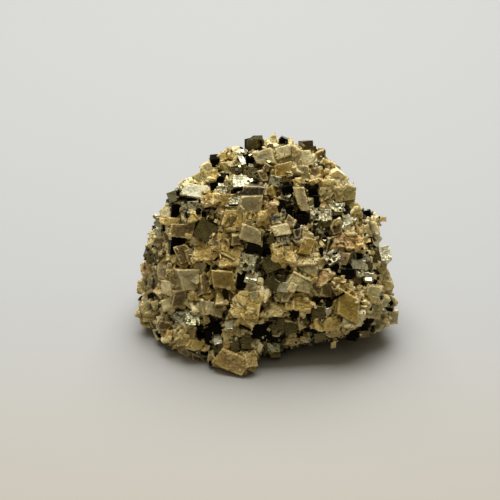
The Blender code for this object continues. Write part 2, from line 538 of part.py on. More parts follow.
def build():
    clear_scene()
    specimen = lump("mass", CORE)
    for name, corners in (("foot", FOOT), ("left_toe", LEFT_TOE),
                          ("right_corner", RIGHT_CORNER), ("crest", CREST)):
        add_boolean(specimen, name, hide_as_guide(lump(name, corners)), "UNION")
    mass = evaluated_bmesh(specimen)
    tree = BVHTree.FromBMesh(mass)
    crystals = bmesh.new()
    front_crystals(crystals, tree, random.Random(FRONT_SEED))
    bedded_crystals(crystals, tree, mass, random.Random(BED_SEED))
    mesh = bpy.data.meshes.new("crystals")
    crystals.to_mesh(mesh)
    crystals.free()
    mass.free()
    grown = hide_as_guide(add_object("crystals", mesh))
    add_boolean(specimen, "crystals", grown, "UNION", own_overlaps=True)
    below = block("below", (-TRIM_REACH, -TRIM_REACH, -TRIM_DEPTH), (TRIM_REACH, TRIM_REACH, 0))
    add_boolean(specimen, "flat underside", hide_as_guide(below), "DIFFERENCE")
    for number, corners in enumerate(CHIPS, 1):
        chip = hide_as_guide(lump(f"chip_{number}", corners))
        add_boolean(specimen, f"chip {number}", chip, "DIFFERENCE")
    whole = evaluated_bmesh(specimen)
    outer_shell(whole)
    finished = bpy.data.meshes.new(SPECIMEN)
    whole.to_mesh(finished)
    whole.free()
    finished.materials.append(stone_material())
    add_object(SPECIMEN, finished)
    hide_as_guide(specimen)


build()
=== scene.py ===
"""Looks of the pyrite specimen: metallic pyrite cubes grown together with blocky tan rhombs.

Sizes in the tables are millimetres; every mesh is in metres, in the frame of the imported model.
"""

import bisect
import itertools
import math
import random

import bmesh
import bpy
import numpy as np
from mathutils import Matrix, Quaternion, Vector, noise
from mathutils.bvhtree import BVHTree


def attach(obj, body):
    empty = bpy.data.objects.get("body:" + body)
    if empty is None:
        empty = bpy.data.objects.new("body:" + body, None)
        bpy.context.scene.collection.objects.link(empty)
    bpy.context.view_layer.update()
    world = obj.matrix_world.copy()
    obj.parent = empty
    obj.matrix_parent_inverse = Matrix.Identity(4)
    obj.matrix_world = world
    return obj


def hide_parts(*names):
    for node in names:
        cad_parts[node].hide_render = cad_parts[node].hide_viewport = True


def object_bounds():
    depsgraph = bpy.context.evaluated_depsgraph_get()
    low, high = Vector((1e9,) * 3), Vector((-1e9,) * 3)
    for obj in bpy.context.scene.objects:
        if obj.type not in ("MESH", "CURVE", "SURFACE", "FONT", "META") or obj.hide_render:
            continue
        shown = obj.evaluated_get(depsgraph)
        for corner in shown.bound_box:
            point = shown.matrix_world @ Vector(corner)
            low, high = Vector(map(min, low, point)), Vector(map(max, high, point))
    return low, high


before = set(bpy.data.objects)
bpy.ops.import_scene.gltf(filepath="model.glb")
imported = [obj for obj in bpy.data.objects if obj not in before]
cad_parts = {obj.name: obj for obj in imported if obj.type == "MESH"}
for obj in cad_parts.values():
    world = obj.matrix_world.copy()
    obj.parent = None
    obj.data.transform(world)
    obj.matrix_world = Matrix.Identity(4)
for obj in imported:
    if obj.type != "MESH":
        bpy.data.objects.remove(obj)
cad_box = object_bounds()


# ---------------------------------------------------------------------------------------------
# The layout of the front. The crystals of the front are set out on a plane that leans back, seen
# square on from a fixed distance: u runs right along X, v runs up the plane from the toe of the
# foot. The camera stands at that same point. All in mm.
# ---------------------------------------------------------------------------------------------

MM = 0.001
TOE = Vector((0.0, -32.0, 0.0))
LEAN = math.radians(30.0)
VIEW_U = -4.8
VIEW_V = 38.55
VIEW_DISTANCE = 600.0
VIEW_WIDTH = 150.0
SENSOR = 36.0
SIGHT_END = 10.0

RIGHT = Vector((1.0, 0.0, 0.0))
UP = Vector((0.0, math.sin(LEAN), math.cos(LEAN)))
OUT = Vector((0.0, -math.cos(LEAN), math.sin(LEAN)))


def layout_point(u, v):
    """The point of the layout plane at u, v."""
    return TOE + RIGHT * u + UP * v


VIEW_POINT = layout_point(VIEW_U, VIEW_V) + OUT * VIEW_DISTANCE


def layout_place(point):
    """The u, v at which a point of the specimen is seen."""
    sight = point - VIEW_POINT
    reach = VIEW_DISTANCE / -sight.dot(OUT)
    flat = VIEW_POINT + sight * reach - TOE
    return Vector((flat.dot(RIGHT), flat.dot(UP)))


def sight_to(point):
    """The direction from the camera to a point."""
    return (point - VIEW_POINT).normalized()


def looks_at_camera(point, normal):
    """True if a face at a point is turned to the camera."""
    return normal.dot(VIEW_POINT - point) > 0


def add_object(name, mesh):
    obj = bpy.data.objects.new(name, mesh)
    bpy.context.scene.collection.objects.link(obj)
    return obj


def add_camera():
    data = bpy.data.cameras.new("camera")
    data.sensor_width = SENSOR
    data.lens = SENSOR * VIEW_DISTANCE / VIEW_WIDTH
    data.clip_end = SIGHT_END
    camera = add_object("camera", data)
    pose = Matrix((RIGHT, UP, OUT)).transposed().to_4x4()
    pose.translation = VIEW_POINT * MM
    camera.matrix_world = pose
    bpy.context.scene.camera = camera


add_camera()


# ---------------------------------------------------------------------------------------------
# The mass. Massive lumps of the same two minerals, with no free faces, carry the crystals. They
# say where each crystal is rooted, and their own broken surface shows as the matrix, further on.
# ---------------------------------------------------------------------------------------------

CORE = [
    # the broken underside
    (-6, -22, 0), (-24, -17.5, 0), (-34, -2, 0), (-32, 18, 0), (-16, 30, 0), (8, 32, 0),
    (25, 25, 0), (31, 6, 0), (25, -8, 0), (9, -14, 0),
    # the undercut edge, a little above it
    (-29, -13.5, 2), (-35, -5, 6), (-37.5, 4, 12), (-34, 20, 8), (6, -20, 6), (19, -19.5, 6),
    (29, -15.5, 8), (36, -9, 9), (37.5, 2, 8), (34, 18, 8), (10, 33, 8), (-16, 32, 8),
    # the belly
    (-27, -17, 10), (-10, -24, 12), (6, -23.5, 14), (22, -21, 15), (33, -13, 18), (36.5, 0, 18),
    (33, 17, 20), (24, 27, 20), (12, 32, 22), (-14, 32, 20), (-28, 25, 20), (-36, 8, 22),
    (-37, 0, 22), (-31, -11, 20),
    # the shoulders
    (-31, 1, 36), (-25, -7, 34), (-8, -13, 36), (8, -14, 35), (22, -9, 34), (31, -2, 32),
    (30, 8, 34), (25, 21, 33), (4, 29, 35), (-16, 26, 35), (-29, 13, 33),
    # the crest
    (-25.5, 3, 43), (-16, -3, 47.5), (-2, -3, 51), (10, -3, 49), (20, -1, 45), (26, 4, 42),
    (-15, 8, 50.8), (-4, 9, 55.6), (4, 10, 57), (11, 10, 55.5), (18, 9, 50.5), (9, 20, 50),
    (-8, 21, 48), (18, 17, 45), (-21, 12, 42.5),
]
FOOT = [
    (-15, -24.5, 0), (-6, -31.3, 0), (-3, -27, 0), (-2, -18, 0), (-16, -16, 0),
    (-15.5, -25, 4.5), (-6.5, -31.2, 2.5), (-3.2, -28.5, 4), (-3, -25, 8), (-13, -24.5, 8),
    (-8, -18, 16),
]
LEFT_TOE = [
    (-31.5, -12, 0.5), (-25.5, -16.8, 0), (-20, -21.5, 0), (-19, -22, 5), (-27, -19, 5),
    (-34, -10.5, 6), (-33, -7, 14), (-21, -18, 13), (-22, -5, 10),
]
RIGHT_CORNER = [
    (22, -20.5, 8), (29, -18, 7.5), (37.5, -10.5, 7), (38.5, -3, 8), (38, -9, 13.5),
    (34, -15.5, 13), (25, -21, 18), (33, -14, 20), (22, -8, 20), (24, -6, 6),
]
CREST = [
    (-4, 4, 54), (2, 6, 58.6), (9, 8, 58), (13.5, 9, 56), (6, 14, 56), (-3, 12, 55), (4, -1, 53),
    (10, 0, 52), (0, 8, 45), (12, 12, 46),
]


def lump(name, corners):
    """A convex lump through its outermost corners."""
    bm = bmesh.new()
    for corner in corners:
        bm.verts.new(Vector(corner) * MM)
    hull = bmesh.ops.convex_hull(bm, input=bm.verts[:])
    inside = {item for item in hull["geom_interior"] + hull["geom_unused"]
              if isinstance(item, bmesh.types.BMVert)}
    bmesh.ops.delete(bm, geom=list(inside), context="VERTS")
    bmesh.ops.recalc_face_normals(bm, faces=bm.faces[:])
    mesh = bpy.data.meshes.new(name)
    bm.to_mesh(mesh)
    bm.free()
    return add_object(name, mesh)


def combine(obj, operation, lumps):
    """Join lumps to an object, or cut them out of it. Gives back the lumps."""
    guides = []
    for name, corners in lumps.items():
        guide = lump(name, corners)
        guides.append(guide)
        modifier = obj.modifiers.new(name, "BOOLEAN")
        modifier.object = guide
        modifier.operation = operation
        modifier.solver = "EXACT"
    return guides


def massive_lumps():
    """The lumps joined, as a bmesh."""
    mass = lump("mass", CORE)
    guides = combine(mass, "UNION", {"foot": FOOT, "left_toe": LEFT_TOE,
                                     "right_corner": RIGHT_CORNER, "crest": CREST})
    bm = bmesh.new()
    bm.from_object(mass, bpy.context.evaluated_depsgraph_get())
    for item in guides + [mass]:
        bpy.data.objects.remove(item, do_unlink=True)
    return bm


MASS = massive_lumps()
MASS_TREE = BVHTree.FromBMesh(MASS)


# ---------------------------------------------------------------------------------------------
# Where the crystals grew. Pyrite grew as cubes and the tan mineral as skewed blocks, both rooted
# in the mass and cut into each other: large ones set out one by one on the front and strewn at
# every angle all over, small ones on their faces, and more small ones in the clefts between.
# ---------------------------------------------------------------------------------------------

def rows_of(table):
    """The rows of a table: a finish and its numbers on each line, or a note after a #."""
    rows = [line.split() for line in table.splitlines()]
    return [(row[0], *map(float, row[1:])) for row in rows if row and row[0] != "#"]


# Finish, u, v, width, height, roll, pitch, yaw, proud, of each large crystal of the front.
# Width and height are those of the face that looks out. Roll turns it on the plane, pitch tips
# it to look up, yaw turns it to look right, in degrees. Proud is how far it stands out.
FRONT = rows_of("""
    # crest
    dark -4.2 70.2 2.8 2.6 10 -15 -20 1.6
    black -2.2 69.2 2.4 3.4 0 -10 25 1.8
    cream -9.4 68.4 4.0 2.4 10 10 0 1.6
    ochre -12.6 66.6 4.2 3.0 30 10 -10 1.6
    cream 0.9 70.8 4.4 2.2 -5 15 0 2.2
    tan 2.3 72.0 2.2 2.4 40 0 0 1.6
    black 5.4 71.2 3.0 1.8 -22 -20 0 1.6
    cream 5.2 67.9 4.4 3.4 22 10 0 2.2
    tan 8.9 70.4 4.8 3.6 -5 5 5 2.0
    dark 12.7 69.8 3.1 3.1 5 -10 10 2.2
    cream 10.6 66.3 6.4 4.0 0 12 0 1.4
    brown 16.8 66.8 3.4 3.0 20 0 12 1.6
    grey -0.6 66.6 6.0 4.2 4 0 -5 2.2
    black -4.9 65.2 2.0 3.2 5 -5 15 1.6
    bright -7.6 66.4 1.6 5.0 28 40 -5 2.7
    black -15.2 64.3 3.0 3.2 8 -10 -15 2.2
    tan -11.4 63.4 3.0 2.8 5 -5 0 2.0
    cream -18.1 63.0 3.4 2.8 25 5 -15 1.8
    ochre 18.1 63.4 4.4 3.8 -32 0 20 1.8
    cream 21.2 60.2 4.0 3.8 -40 0 22 1.8
    # left shoulder
    olive -20.0 60.0 6.4 3.6 25 10 -10 1.8
    pale -20.6 56.4 8.6 4.0 -8 20 -5 3.5
    cream -24.6 58.2 3.6 3.2 30 5 -20 1.4
    black -15.7 57.7 2.2 2.4 10 -15 10 1.8
    black -13.8 59.6 2.2 2.2 -12 -10 -10 1.8
    ochre -15.8 60.9 3.6 3.0 20 5 0 1.4
    pitted -13.2 56.6 2.9 2.4 6 10 0 2.0
    green -27.8 54.6 3.5 3.4 20 0 -25 2.2
    black -24.0 54.2 3.2 2.2 5 -15 10 1.2
    pitted -21.8 51.6 7.2 3.2 4 8 0 2.0
    black -26.8 50.2 3.0 4.2 -6 -5 15 1.2
    cream -29.7 50.0 4.2 3.6 35 10 -25 1.6
    ochre -28.9 47.3 6.2 2.2 -3 15 -10 2.0
    ochre -20.6 48.6 5.4 2.8 10 15 0 1.8
    # upper middle
    bright -7.8 59.2 4.4 3.4 6 12 0 2.8
    dark -8.8 62.8 3.4 2.4 12 0 0 1.6
    dark -4.6 62.2 4.2 2.6 -5 5 0 1.6
    umber -3.9 56.0 6.0 3.2 -3 -10 0 2.4
    brown -0.6 61.0 3.0 3.2 10 0 0 1.6
    pitted 2.6 59.2 3.0 3.0 -12 -5 10 2.2
    pitted -9.4 53.2 3.6 2.4 2 5 0 2.4
    grey -4.4 52.2 6.4 4.6 -3 -2 8 2.8
    ochre -14.2 53.6 7.0 3.4 -4 12 0 1.8
    honey 5.0 62.6 5.2 4.0 12 8 0 1.4
    grey 11.7 61.8 3.2 3.6 -4 -2 -8 2.2
    brown 15.0 61.8 4.6 3.2 6 -8 0 2.0
    grey 18.1 62.4 2.2 3.6 -18 0 15 1.8
    ochre 14.6 59.0 11.0 1.8 -3 20 0 2.6
    grey 10.6 53.9 3.3 7.0 2 -8 10 3.0
    black 14.2 56.1 2.2 2.4 6 -10 0 1.4
    black 14.9 53.3 2.0 3.2 -6 -8 0 1.6
    tan 17.6 55.6 3.6 3.4 4 0 0 2.6
    tan 21.5 55.2 3.4 4.2 -2 0 5 2.4
    olive 24.9 56.0 4.6 4.8 12 0 18 2.2
    cream 21.4 59.9 4.6 3.4 -20 8 10 1.6
    orange 17.2 52.6 2.2 2.6 -6 5 0 1.8
    # right shoulder
    olive 26.5 51.4 5.0 3.8 -8 8 12 2.0
    black 30.4 48.8 2.4 3.4 12 -5 15 1.6
    grey 30.4 45.3 7.2 4.2 -4 2 8 2.6
    tan 33.4 46.8 2.4 4.0 -12 0 25 1.8
    orange 24.6 41.6 9.2 4.4 -2 15 0 2.8
    brown 21.0 45.0 3.6 3.8 22 -4 0 2.4
    bright 23.8 47.4 3.8 3.0 25 10 5 1.8
    pitted 16.5 49.4 6.6 3.6 2 8 0 1.8
    pitted 21.4 51.4 3.4 2.6 -10 5 0 1.6
    black 10.8 47.6 4.2 3.2 0 -10 0 1.0
    dark 15.2 46.6 2.6 2.4 0 0 0 1.4
    dark 18.2 46.8 2.8 2.6 20 -5 0 1.0
    bright 33.1 41.6 2.8 3.4 -35 5 15 1.8
    bright 35.8 37.6 3.4 4.6 12 5 10 2.4
    dark 32.9 36.6 2.4 4.2 8 -8 0 1.6
    pitted 28.2 37.0 4.8 4.6 15 5 0 1.8
    bright 27.6 34.2 4.2 2.6 -6 10 0 1.8
    bright 30.8 30.4 3.0 2.6 -8 15 0 2.2
    pitted 28.2 31.8 2.6 2.6 20 0 -10 1.8
    tan 35.0 33.2 3.6 3.4 25 0 15 1.8
    # heart
    grey -4.2 43.3 6.2 4.6 -20 -4 5 3.0
    brown -8.8 41.6 3.0 3.0 10 -10 -10 1.8
    black -3.4 38.6 5.0 3.2 -18 -15 0 1.2
    dark 1.5 41.8 3.8 3.0 -4 -8 10 2.0
    cream 4.7 44.4 4.8 3.2 10 8 0 2.6
    pitted 5.1 41.3 3.8 2.2 4 0 0 1.8
    brown 7.5 47.0 3.0 2.8 -30 5 0 1.8
    umber 9.2 43.6 2.8 3.0 12 -8 0 2.0
    orange 2.0 51.0 3.6 3.0 -8 0 5 2.0
    ochre -1.8 48.8 3.8 3.0 8 10 0 1.8
    umber 3.2 47.8 3.6 2.4 12 5 0 1.6
    ochre -9.6 47.4 6.4 5.8 0 2 0 2.0
    dark -18.0 44.4 6.0 5.6 -30 5 0 2.0
    brown -25.4 44.4 7.6 4.2 -3 -4 -8 2.8
    black -27.2 40.0 2.6 5.6 -6 -5 12 1.6
    brown -31.9 41.3 4.4 2.9 8 0 -15 2.0
    green -32.2 46.8 2.4 2.9 -12 0 -25 1.8
    tan -33.9 43.0 2.8 3.2 20 5 -25 1.6
    cream -34.3 39.4 3.4 3.4 25 5 -20 1.6
    dark -34.9 36.4 3.0 2.8 35 -5 -15 2.0
    dark -31.2 35.4 2.6 2.6 12 -5 0 1.8
    orange -36.4 33.2 3.2 3.6 15 5 -25 1.8
    brown -32.6 32.2 3.0 3.4 8 -10 -10 2.0
    tan -28.4 34.9 3.0 4.8 6 5 -5 2.4
    brown -24.6 37.4 4.2 5.4 12 0 8 1.8
    ochre -18.8 37.8 6.8 4.6 4 12 0 1.6
    ochre -13.8 41.0 4.8 4.8 -12 10 5 2.0
    ochre -10.8 36.6 6.2 5.0 8 8 0 1.6
    green -5.4 34.8 4.6 5.2 -12 -3 0 2.2
    dark 1.4 34.2 4.8 4.4 24 0 0 1.4
    ochre 5.6 37.6 6.4 4.4 -6 10 0 1.8
    honey 12.2 39.8 4.0 4.4 -8 0 5 2.2
    grey 12.6 43.2 3.4 2.6 -30 8 0 1.8
    tan 11.4 35.8 8.0 3.2 0 15 0 1.8
    pitted 19.6 36.4 4.0 3.6 35 8 0 2.0
    mauve 23.4 35.8 3.0 3.6 0 -5 0 1.6
    black 19.8 33.1 4.4 2.0 -2 -12 0 1.2
    black 24.2 31.6 4.8 2.6 -3 -12 0 1.2
    # middle belt
    grey -22.4 29.6 6.8 5.4 0 -6 20 3.2
    brown -18.2 28.6 2.6 6.0 18 0 35 2.0
    honey -12.9 29.8 7.0 5.2 -8 -4 0 3.0
    black -7.4 29.6 2.8 5.2 -4 -8 5 1.8
    bright -4.4 30.2 3.6 3.4 -16 5 0 2.2
    dark 1.6 28.5 4.2 3.4 -28 -12 0 2.4
    cream -0.8 25.8 4.2 4.6 -35 8 0 2.2
    grey -4.7 27.3 3.4 2.2 -8 5 0 2.0
    grey 12.9 32.2 5.2 4.2 -22 4 0 2.8
    grey 10.2 28.4 7.2 5.2 -12 -8 0 3.0
    bright 5.0 27.4 3.4 3.0 -6 6 -8 2.4
    orange 17.2 30.4 3.8 4.4 10 2 5 1.8
    honey 22.0 29.2 3.8 3.2 -6 2 0 2.2
    brown 18.4 26.2 4.0 4.6 6 -4 0 1.4
    tan 24.6 27.0 4.4 2.6 24 5 0 2.0
    tan -36.2 28.2 5.6 4.2 12 8 -18 1.8
    cream -30.0 27.2 3.6 4.0 -12 5 -8 1.8
    brown -26.0 24.0 4.0 5.2 4 -8 0 2.4
    ochre -20.8 25.0 5.2 3.2 6 12 0 1.8
    cream -29.6 22.2 3.4 3.8 24 10 0 2.4
    tan -35.5 20.9 4.0 4.4 -2 -4 -10 2.4
    grey -38.3 23.4 2.4 5.0 -4 0 -35 1.6
    tan 36.2 29.4 4.2 6.0 2 5 22 2.0
    grey 32.0 25.4 3.8 5.0 -6 -2 5 2.4
    brown 28.2 24.9 3.2 2.6 0 -6 0 2.4
    pitted 36.4 25.0 3.4 3.2 -35 5 12 1.8
    # lower belt
    grey -16.0 20.6 6.2 4.4 -12 -6 0 3.0
    honey -12.8 24.4 4.2 4.0 5 8 5 2.0
    ochre -16.8 24.6 3.8 2.8 12 10 0 1.8
    ochre -5.8 22.2 8.2 7.4 -8 8 0 3.4
    grey -2.6 24.0 3.0 4.4 4 -6 15 2.8
    ochre 9.8 21.8 8.2 3.0 -6 18 0 2.4
    honey 10.4 24.0 4.0 3.0 4 -2 0 2.0
    mauve 6.0 24.6 2.6 3.0 6 -6 -5 2.2
    honey 24.4 21.8 7.6 7.2 -22 -4 0 4.0
    cream 26.2 17.2 6.8 4.2 6 -35 6 3.4
    grey 36.4 18.2 7.2 4.6 -8 -6 14 2.4
    green 34.6 22.2 4.4 3.4 -4 2 5 1.6
    tan 38.0 22.2 3.2 3.6 -30 5 22 1.6
    grey 33.2 15.6 3.6 2.8 -20 -15 5 1.8
    ochre 18.2 16.2 7.2 3.8 -2 -6 0 2.8
    dark 15.6 19.6 4.2 4.0 6 2 0 1.6
    black 8.3 19.6 2.8 2.6 -6 -12 -5 1.8
    tan 2.6 20.2 5.2 3.6 3 6 0 2.0
    dark 11.6 18.0 2.8 2.8 0 -6 0 1.6
    dark 3.4 16.2 4.2 3.2 5 -8 0 1.8
    dark 7.4 15.4 3.8 3.6 5 -8 0 1.4
    pitted -22.0 18.2 4.4 4.4 -2 8 0 2.8
    cream -21.6 21.6 2.0 2.6 3 12 5 2.8
    pitted -25.8 18.0 3.6 4.0 8 0 -5 1.8
    mauve -30.9 18.2 2.4 4.8 -28 8 -15 2.2
    brown -30.1 15.7 4.4 3.2 -6 -10 -5 2.4
    grey -32.2 13.2 3.4 3.4 10 -6 -10 2.0
    orange -28.4 12.6 3.0 3.2 -8 0 0 2.2
    ochre -35.6 17.0 3.8 2.8 -4 0 -15 1.8
    tan -17.8 17.2 2.4 2.6 -20 -5 0 2.4
    black -15.2 15.2 4.2 2.8 -12 -12 0 1.4
    black -17.2 12.0 2.2 5.0 2 -8 5 1.2
    bright -11.1 16.0 2.4 2.4 2 10 0 2.8
    bright -14.4 11.9 2.4 3.0 4 40 0 3.0
    tan -11.4 12.6 2.8 4.2 -3 -4 -5 2.6
    ochre -6.6 16.6 4.6 3.0 -22 -6 0 2.6
    tan -6.6 14.2 4.0 2.2 4 6 0 2.0
    black -1.6 14.3 4.8 3.6 18 -15 0 1.8
    # foot and underside edge
    sandy -15.6 5.0 4.6 3.0 -16 -10 -8 1.4
    sandy -10.4 4.7 10.2 5.4 -17 -8 -6 1.5
    sandy -6.0 3.1 4.4 4.4 -20 -6 16 1.2
    sandy -4.2 5.8 3.0 4.4 20 -6 28 1.2
    dark -28.2 9.4 3.6 2.4 -28 -10 -5 1.8
    mauve -24.4 7.6 4.2 2.4 -24 -12 0 1.8
    umber -20.4 5.8 4.0 2.2 -8 -20 0 1.4
    ochre -37.4 19.6 3.0 3.2 -20 -5 -30 1.8
    tan 35.4 16.0 4.2 2.6 22 -20 8 1.6
    tan -24.0 12.4 5.6 5.2 10 -4 -8 3.0
    ochre -21.0 10.2 5.4 3.2 -8 -12 0 2.0
    dark -14.0 8.6 3.6 2.8 6 -8 0 1.4
    cream -17.3 7.4 4.2 2.6 -22 -4 0 1.8
    dark -9.4 10.2 2.8 3.8 10 0 0 1.6
    dark -6.0 11.2 3.0 4.8 2 -5 10 2.0
    cream -3.2 11.2 2.0 3.2 -4 0 0 1.6
    pitted -2.6 8.8 3.0 2.8 -12 5 5 1.8
    pitted 2.2 9.3 4.0 2.6 -1 8 0 3.0
    dark 2.8 7.4 3.2 2.4 4 -8 5 2.0
    tan 8.2 11.2 4.6 2.4 -4 -12 0 1.8
    pitted 11.8 11.8 3.2 2.2 14 -6 0 1.8
    black 2.8 12.4 5.0 2.0 -3 -12 0 1.2
    tan 20.6 13.2 5.2 2.4 -3 -15 0 2.2
    dark 16.2 12.4 3.6 2.4 4 -15 0 1.6
    black 25.6 12.6 3.2 2.6 -5 -15 0 1.2
    dark 29.2 13.2 3.6 2.0 3 -15 0 1.8
    black 29.6 17.0 2.0 4.4 0 -10 0 1.0
""")

# Each front crystal is also turned by up to STRAY, up or down and left or right. A sight line
# that misses the mass is moved towards its middle by STEP_TO_MASS at a time.
FRONT_SEED = 41
STRAY = 16.0
STEP_TO_MASS = 0.5
MASS_MIDDLE = Vector((-1.0, 34.0))
RHOMB_SKEW = 0.26
ROOT = 1.5

# Mineral, colour as seen in daylight, how pitted or frosted it is, and how often a bedded or
# small crystal has this finish.
FINISHES = {
    # the pyrite colours are partly painted light: bright is painted paler than brass, a painted
    # highlight at any angle; dark and black are tarnish and a painted dark reflection of the room
    "bright": ("pyrite", (250, 244, 210), 0.40, 12),
    "pitted": ("pyrite", (228, 220, 178), 0.90, 32),
    "green": ("pyrite", (200, 194, 154), 0.45, 10),
    "dark": ("pyrite", (116, 106, 68), 0.30, 26),
    "black": ("pyrite", (24, 21, 15), 0.05, 28),
    "tan": ("rhomb", (184, 166, 108), 0.5, 28),
    "ochre": ("rhomb", (206, 176, 92), 0.45, 22),
    "cream": ("rhomb", (240, 225, 172), 0.4, 12),
    "grey": ("rhomb", (160, 147, 104), 0.2, 15),
    "olive": ("rhomb", (144, 130, 66), 0.4, 11),
    "honey": ("rhomb", (146, 118, 44), 0.2, 9),
    "brown": ("rhomb", (101, 80, 34), 0.3, 8),
    "umber": ("rhomb", (50, 40, 20), 0.3, 3),
    "orange": ("rhomb", (184, 144, 80), 0.5, 3),
    "mauve": ("rhomb", (140, 120, 88), 0.4, 2),
    "sandy": ("rhomb", (164, 134, 72), 0.9, 0),
    "pale": ("rhomb", (250, 244, 212), 0.1, 0),
}


class Crystal:
    """A block: the middle of the face that looks out, its axes, its size and its finish."""

    def __init__(self, finish, middle, axes, size, skew=0.0):
        self.finish = finish
        self.mineral, _, self.frost, _ = FINISHES[finish]
        self.middle = middle
        self.axes = axes
        self.width, self.height, self.depth = size
        self.skew = skew
        self.heart = middle - axes[2] * self.depth / 2
        self.seed = 0.0

    def own_place(self, point):
        """A point in the crystal's own axes, from the middle of its face."""
        away = point - self.middle
        return [away.dot(axis) for axis in self.axes]


def turned_axes(roll, pitch, yaw):
    """A block's own axes after it is rolled, tipped up and turned right."""
    spin = Matrix.Rotation(math.radians(roll), 3, OUT)
    tip = Matrix.Rotation(math.radians(-pitch), 3, RIGHT)
    turn = Matrix.Rotation(math.radians(yaw), 3, UP)
    pose = spin @ tip @ turn
    return pose @ RIGHT, pose @ UP, pose @ OUT


def mass_in_front(u, v):
    """Where the line of sight through u, v meets the mass, or comes nearest to it."""
    place = Vector((u, v))
    hit = None
    while hit is None:
        sight = sight_to(layout_point(place.x, place.y))
        hit = MASS_TREE.ray_cast(VIEW_POINT * MM, sight)[0]
        place += (MASS_MIDDLE - place).normalized() * STEP_TO_MASS
    return VIEW_POINT + sight_to(layout_point(u, v)) * (hit / MM - VIEW_POINT).length


def front_crystals(rng):
    """The large crystals of the front, each rooted in the mass behind it."""
    crystals = []
    for number, (finish, u, v, width, height, roll, pitch, yaw, proud) in enumerate(FRONT):
        pitch += rng.uniform(-STRAY, STRAY)
        yaw += rng.uniform(-STRAY, STRAY)
        middle = mass_in_front(u, v) - sight_to(layout_point(u, v)) * proud
        width /= math.cos(math.radians(yaw))
        height /= math.cos(math.radians(pitch))
        size = (width, height, proud + ROOT + max(width, height) / 2)
        skew = 0.0
        if FINISHES[finish][0] == "rhomb":
            skew = RHOMB_SKEW if number % 2 else -RHOMB_SKEW
        crystals.append(Crystal(finish, middle, turned_axes(roll, pitch, yaw), size, skew))
    return crystals


class Ground:
    """Faces on which points are picked at random, evenly over their area."""

    def __init__(self, faces):
        self.triangles = [(corners[0], b, c) for corners in faces
                          for b, c in zip(corners[1:], corners[2:])]
        self.reach = list(itertools.accumulate(
            (b - a).cross(c - a).length for a, b, c in self.triangles))

    def pick(self, rng):
        """A random point, with its face's normal."""
        a, b, c = self.triangles[bisect.bisect_left(self.reach, rng.random() * self.reach[-1])]
        s, t = rng.random(), rng.random()
        if s + t > 1:
            s, t = 1 - s, 1 - t
        return a + (b - a) * s + (c - a) * t, (b - a).cross(c - a).normalized()


class SpacedPoints:
    """Points on a grid of cells, to ask whether any is nearer than the spacing."""

    def __init__(self, spacing):
        self.spacing = spacing
        self.cells = {}

    def cell(self, point):
        return tuple(math.floor(value / self.spacing) for value in point)

    def add(self, point):
        self.cells.setdefault(self.cell(point), []).append(point)

    def near(self, point):
        home = self.cell(point)
        return any((point - other).length < self.spacing
                   for step in itertools.product((-1, 0, 1), repeat=3)
                   for other in self.cells.get(tuple(map(sum, zip(home, step))), ()))


# Large crystals at every angle, bedded into the mass all over: how many places are tried, how
# far apart they sit, their width, their height as a share of it, and how deep their middle lies,
# also as a share of it. All round they are larger than on the front, between its own crystals.
BED_SEED = 21
BED_TRIES = 12000
BED_SPACING = 6.4
BED_LOWEST = 4.5
ROUND_WIDTH = (5.5, 10.5)
ROUND_BED = (0.22, 0.42)
FRONT_WIDTH = (4.5, 7.0)
FRONT_BED = (0.34, 0.50)
BED_SHAPE = (0.7, 1.0)
CUBE_SHARE = 0.35
CUBE_SIZE = 0.72
HIT_NEAR = 1.0


def seen_from_front(point, normal):
    """True if the camera sees a point of the mass."""
    if not looks_at_camera(point, normal):
        return False
    hit = MASS_TREE.ray_cast(VIEW_POINT * MM, sight_to(point))[0]
    return hit is not None and (hit / MM - point).length < HIT_NEAR


def random_axes(rng):
    """Three axes at right angles, turned any way."""
    pose = Quaternion([rng.gauss(0, 1) for _ in range(4)]).normalized().to_matrix()
    return pose.col[0], pose.col[1], pose.col[2]


def random_skew(mineral, rng):
    return RHOMB_SKEW * rng.choice((-1, 1)) if mineral == "rhomb" else 0.0


def any_finish(mineral, rng):
    names = [name for name, look in FINISHES.items() if look[0] == mineral]
    return rng.choices(names, [FINISHES[name][3] for name in names])[0]


def bedded_crystals(rng, looks):
    """Crystals at every angle, all over the mass, smaller and deeper on the front."""
    mesh = MASS.copy()
    bmesh.ops.triangulate(mesh, faces=mesh.faces[:])
    ground = Ground([[vert.co / MM for vert in face.verts] for face in mesh.faces])
    mesh.free()
    placed = SpacedPoints(BED_SPACING)
    crystals = []
    for _ in range(BED_TRIES):
        point, normal = ground.pick(rng)
        if point.z < BED_LOWEST or placed.near(point):
            continue
        placed.add(point)
        front = seen_from_front(point, normal)
        axes = random_axes(rng)
        mineral = "pyrite" if rng.random() < CUBE_SHARE else "rhomb"
        width = rng.uniform(*(FRONT_WIDTH if front else ROUND_WIDTH))
        width *= CUBE_SIZE if mineral == "pyrite" else 1.0
        height = width * rng.uniform(*BED_SHAPE)
        bed = rng.uniform(*(FRONT_BED if front else ROUND_BED))
        skew = random_skew(mineral, rng)
        middle = point - normal * width * bed + axes[2] * height / 2
        finish = any_finish(mineral, looks)
        crystals.append(Crystal(finish, middle, axes, (width, height, height), skew))
    return crystals


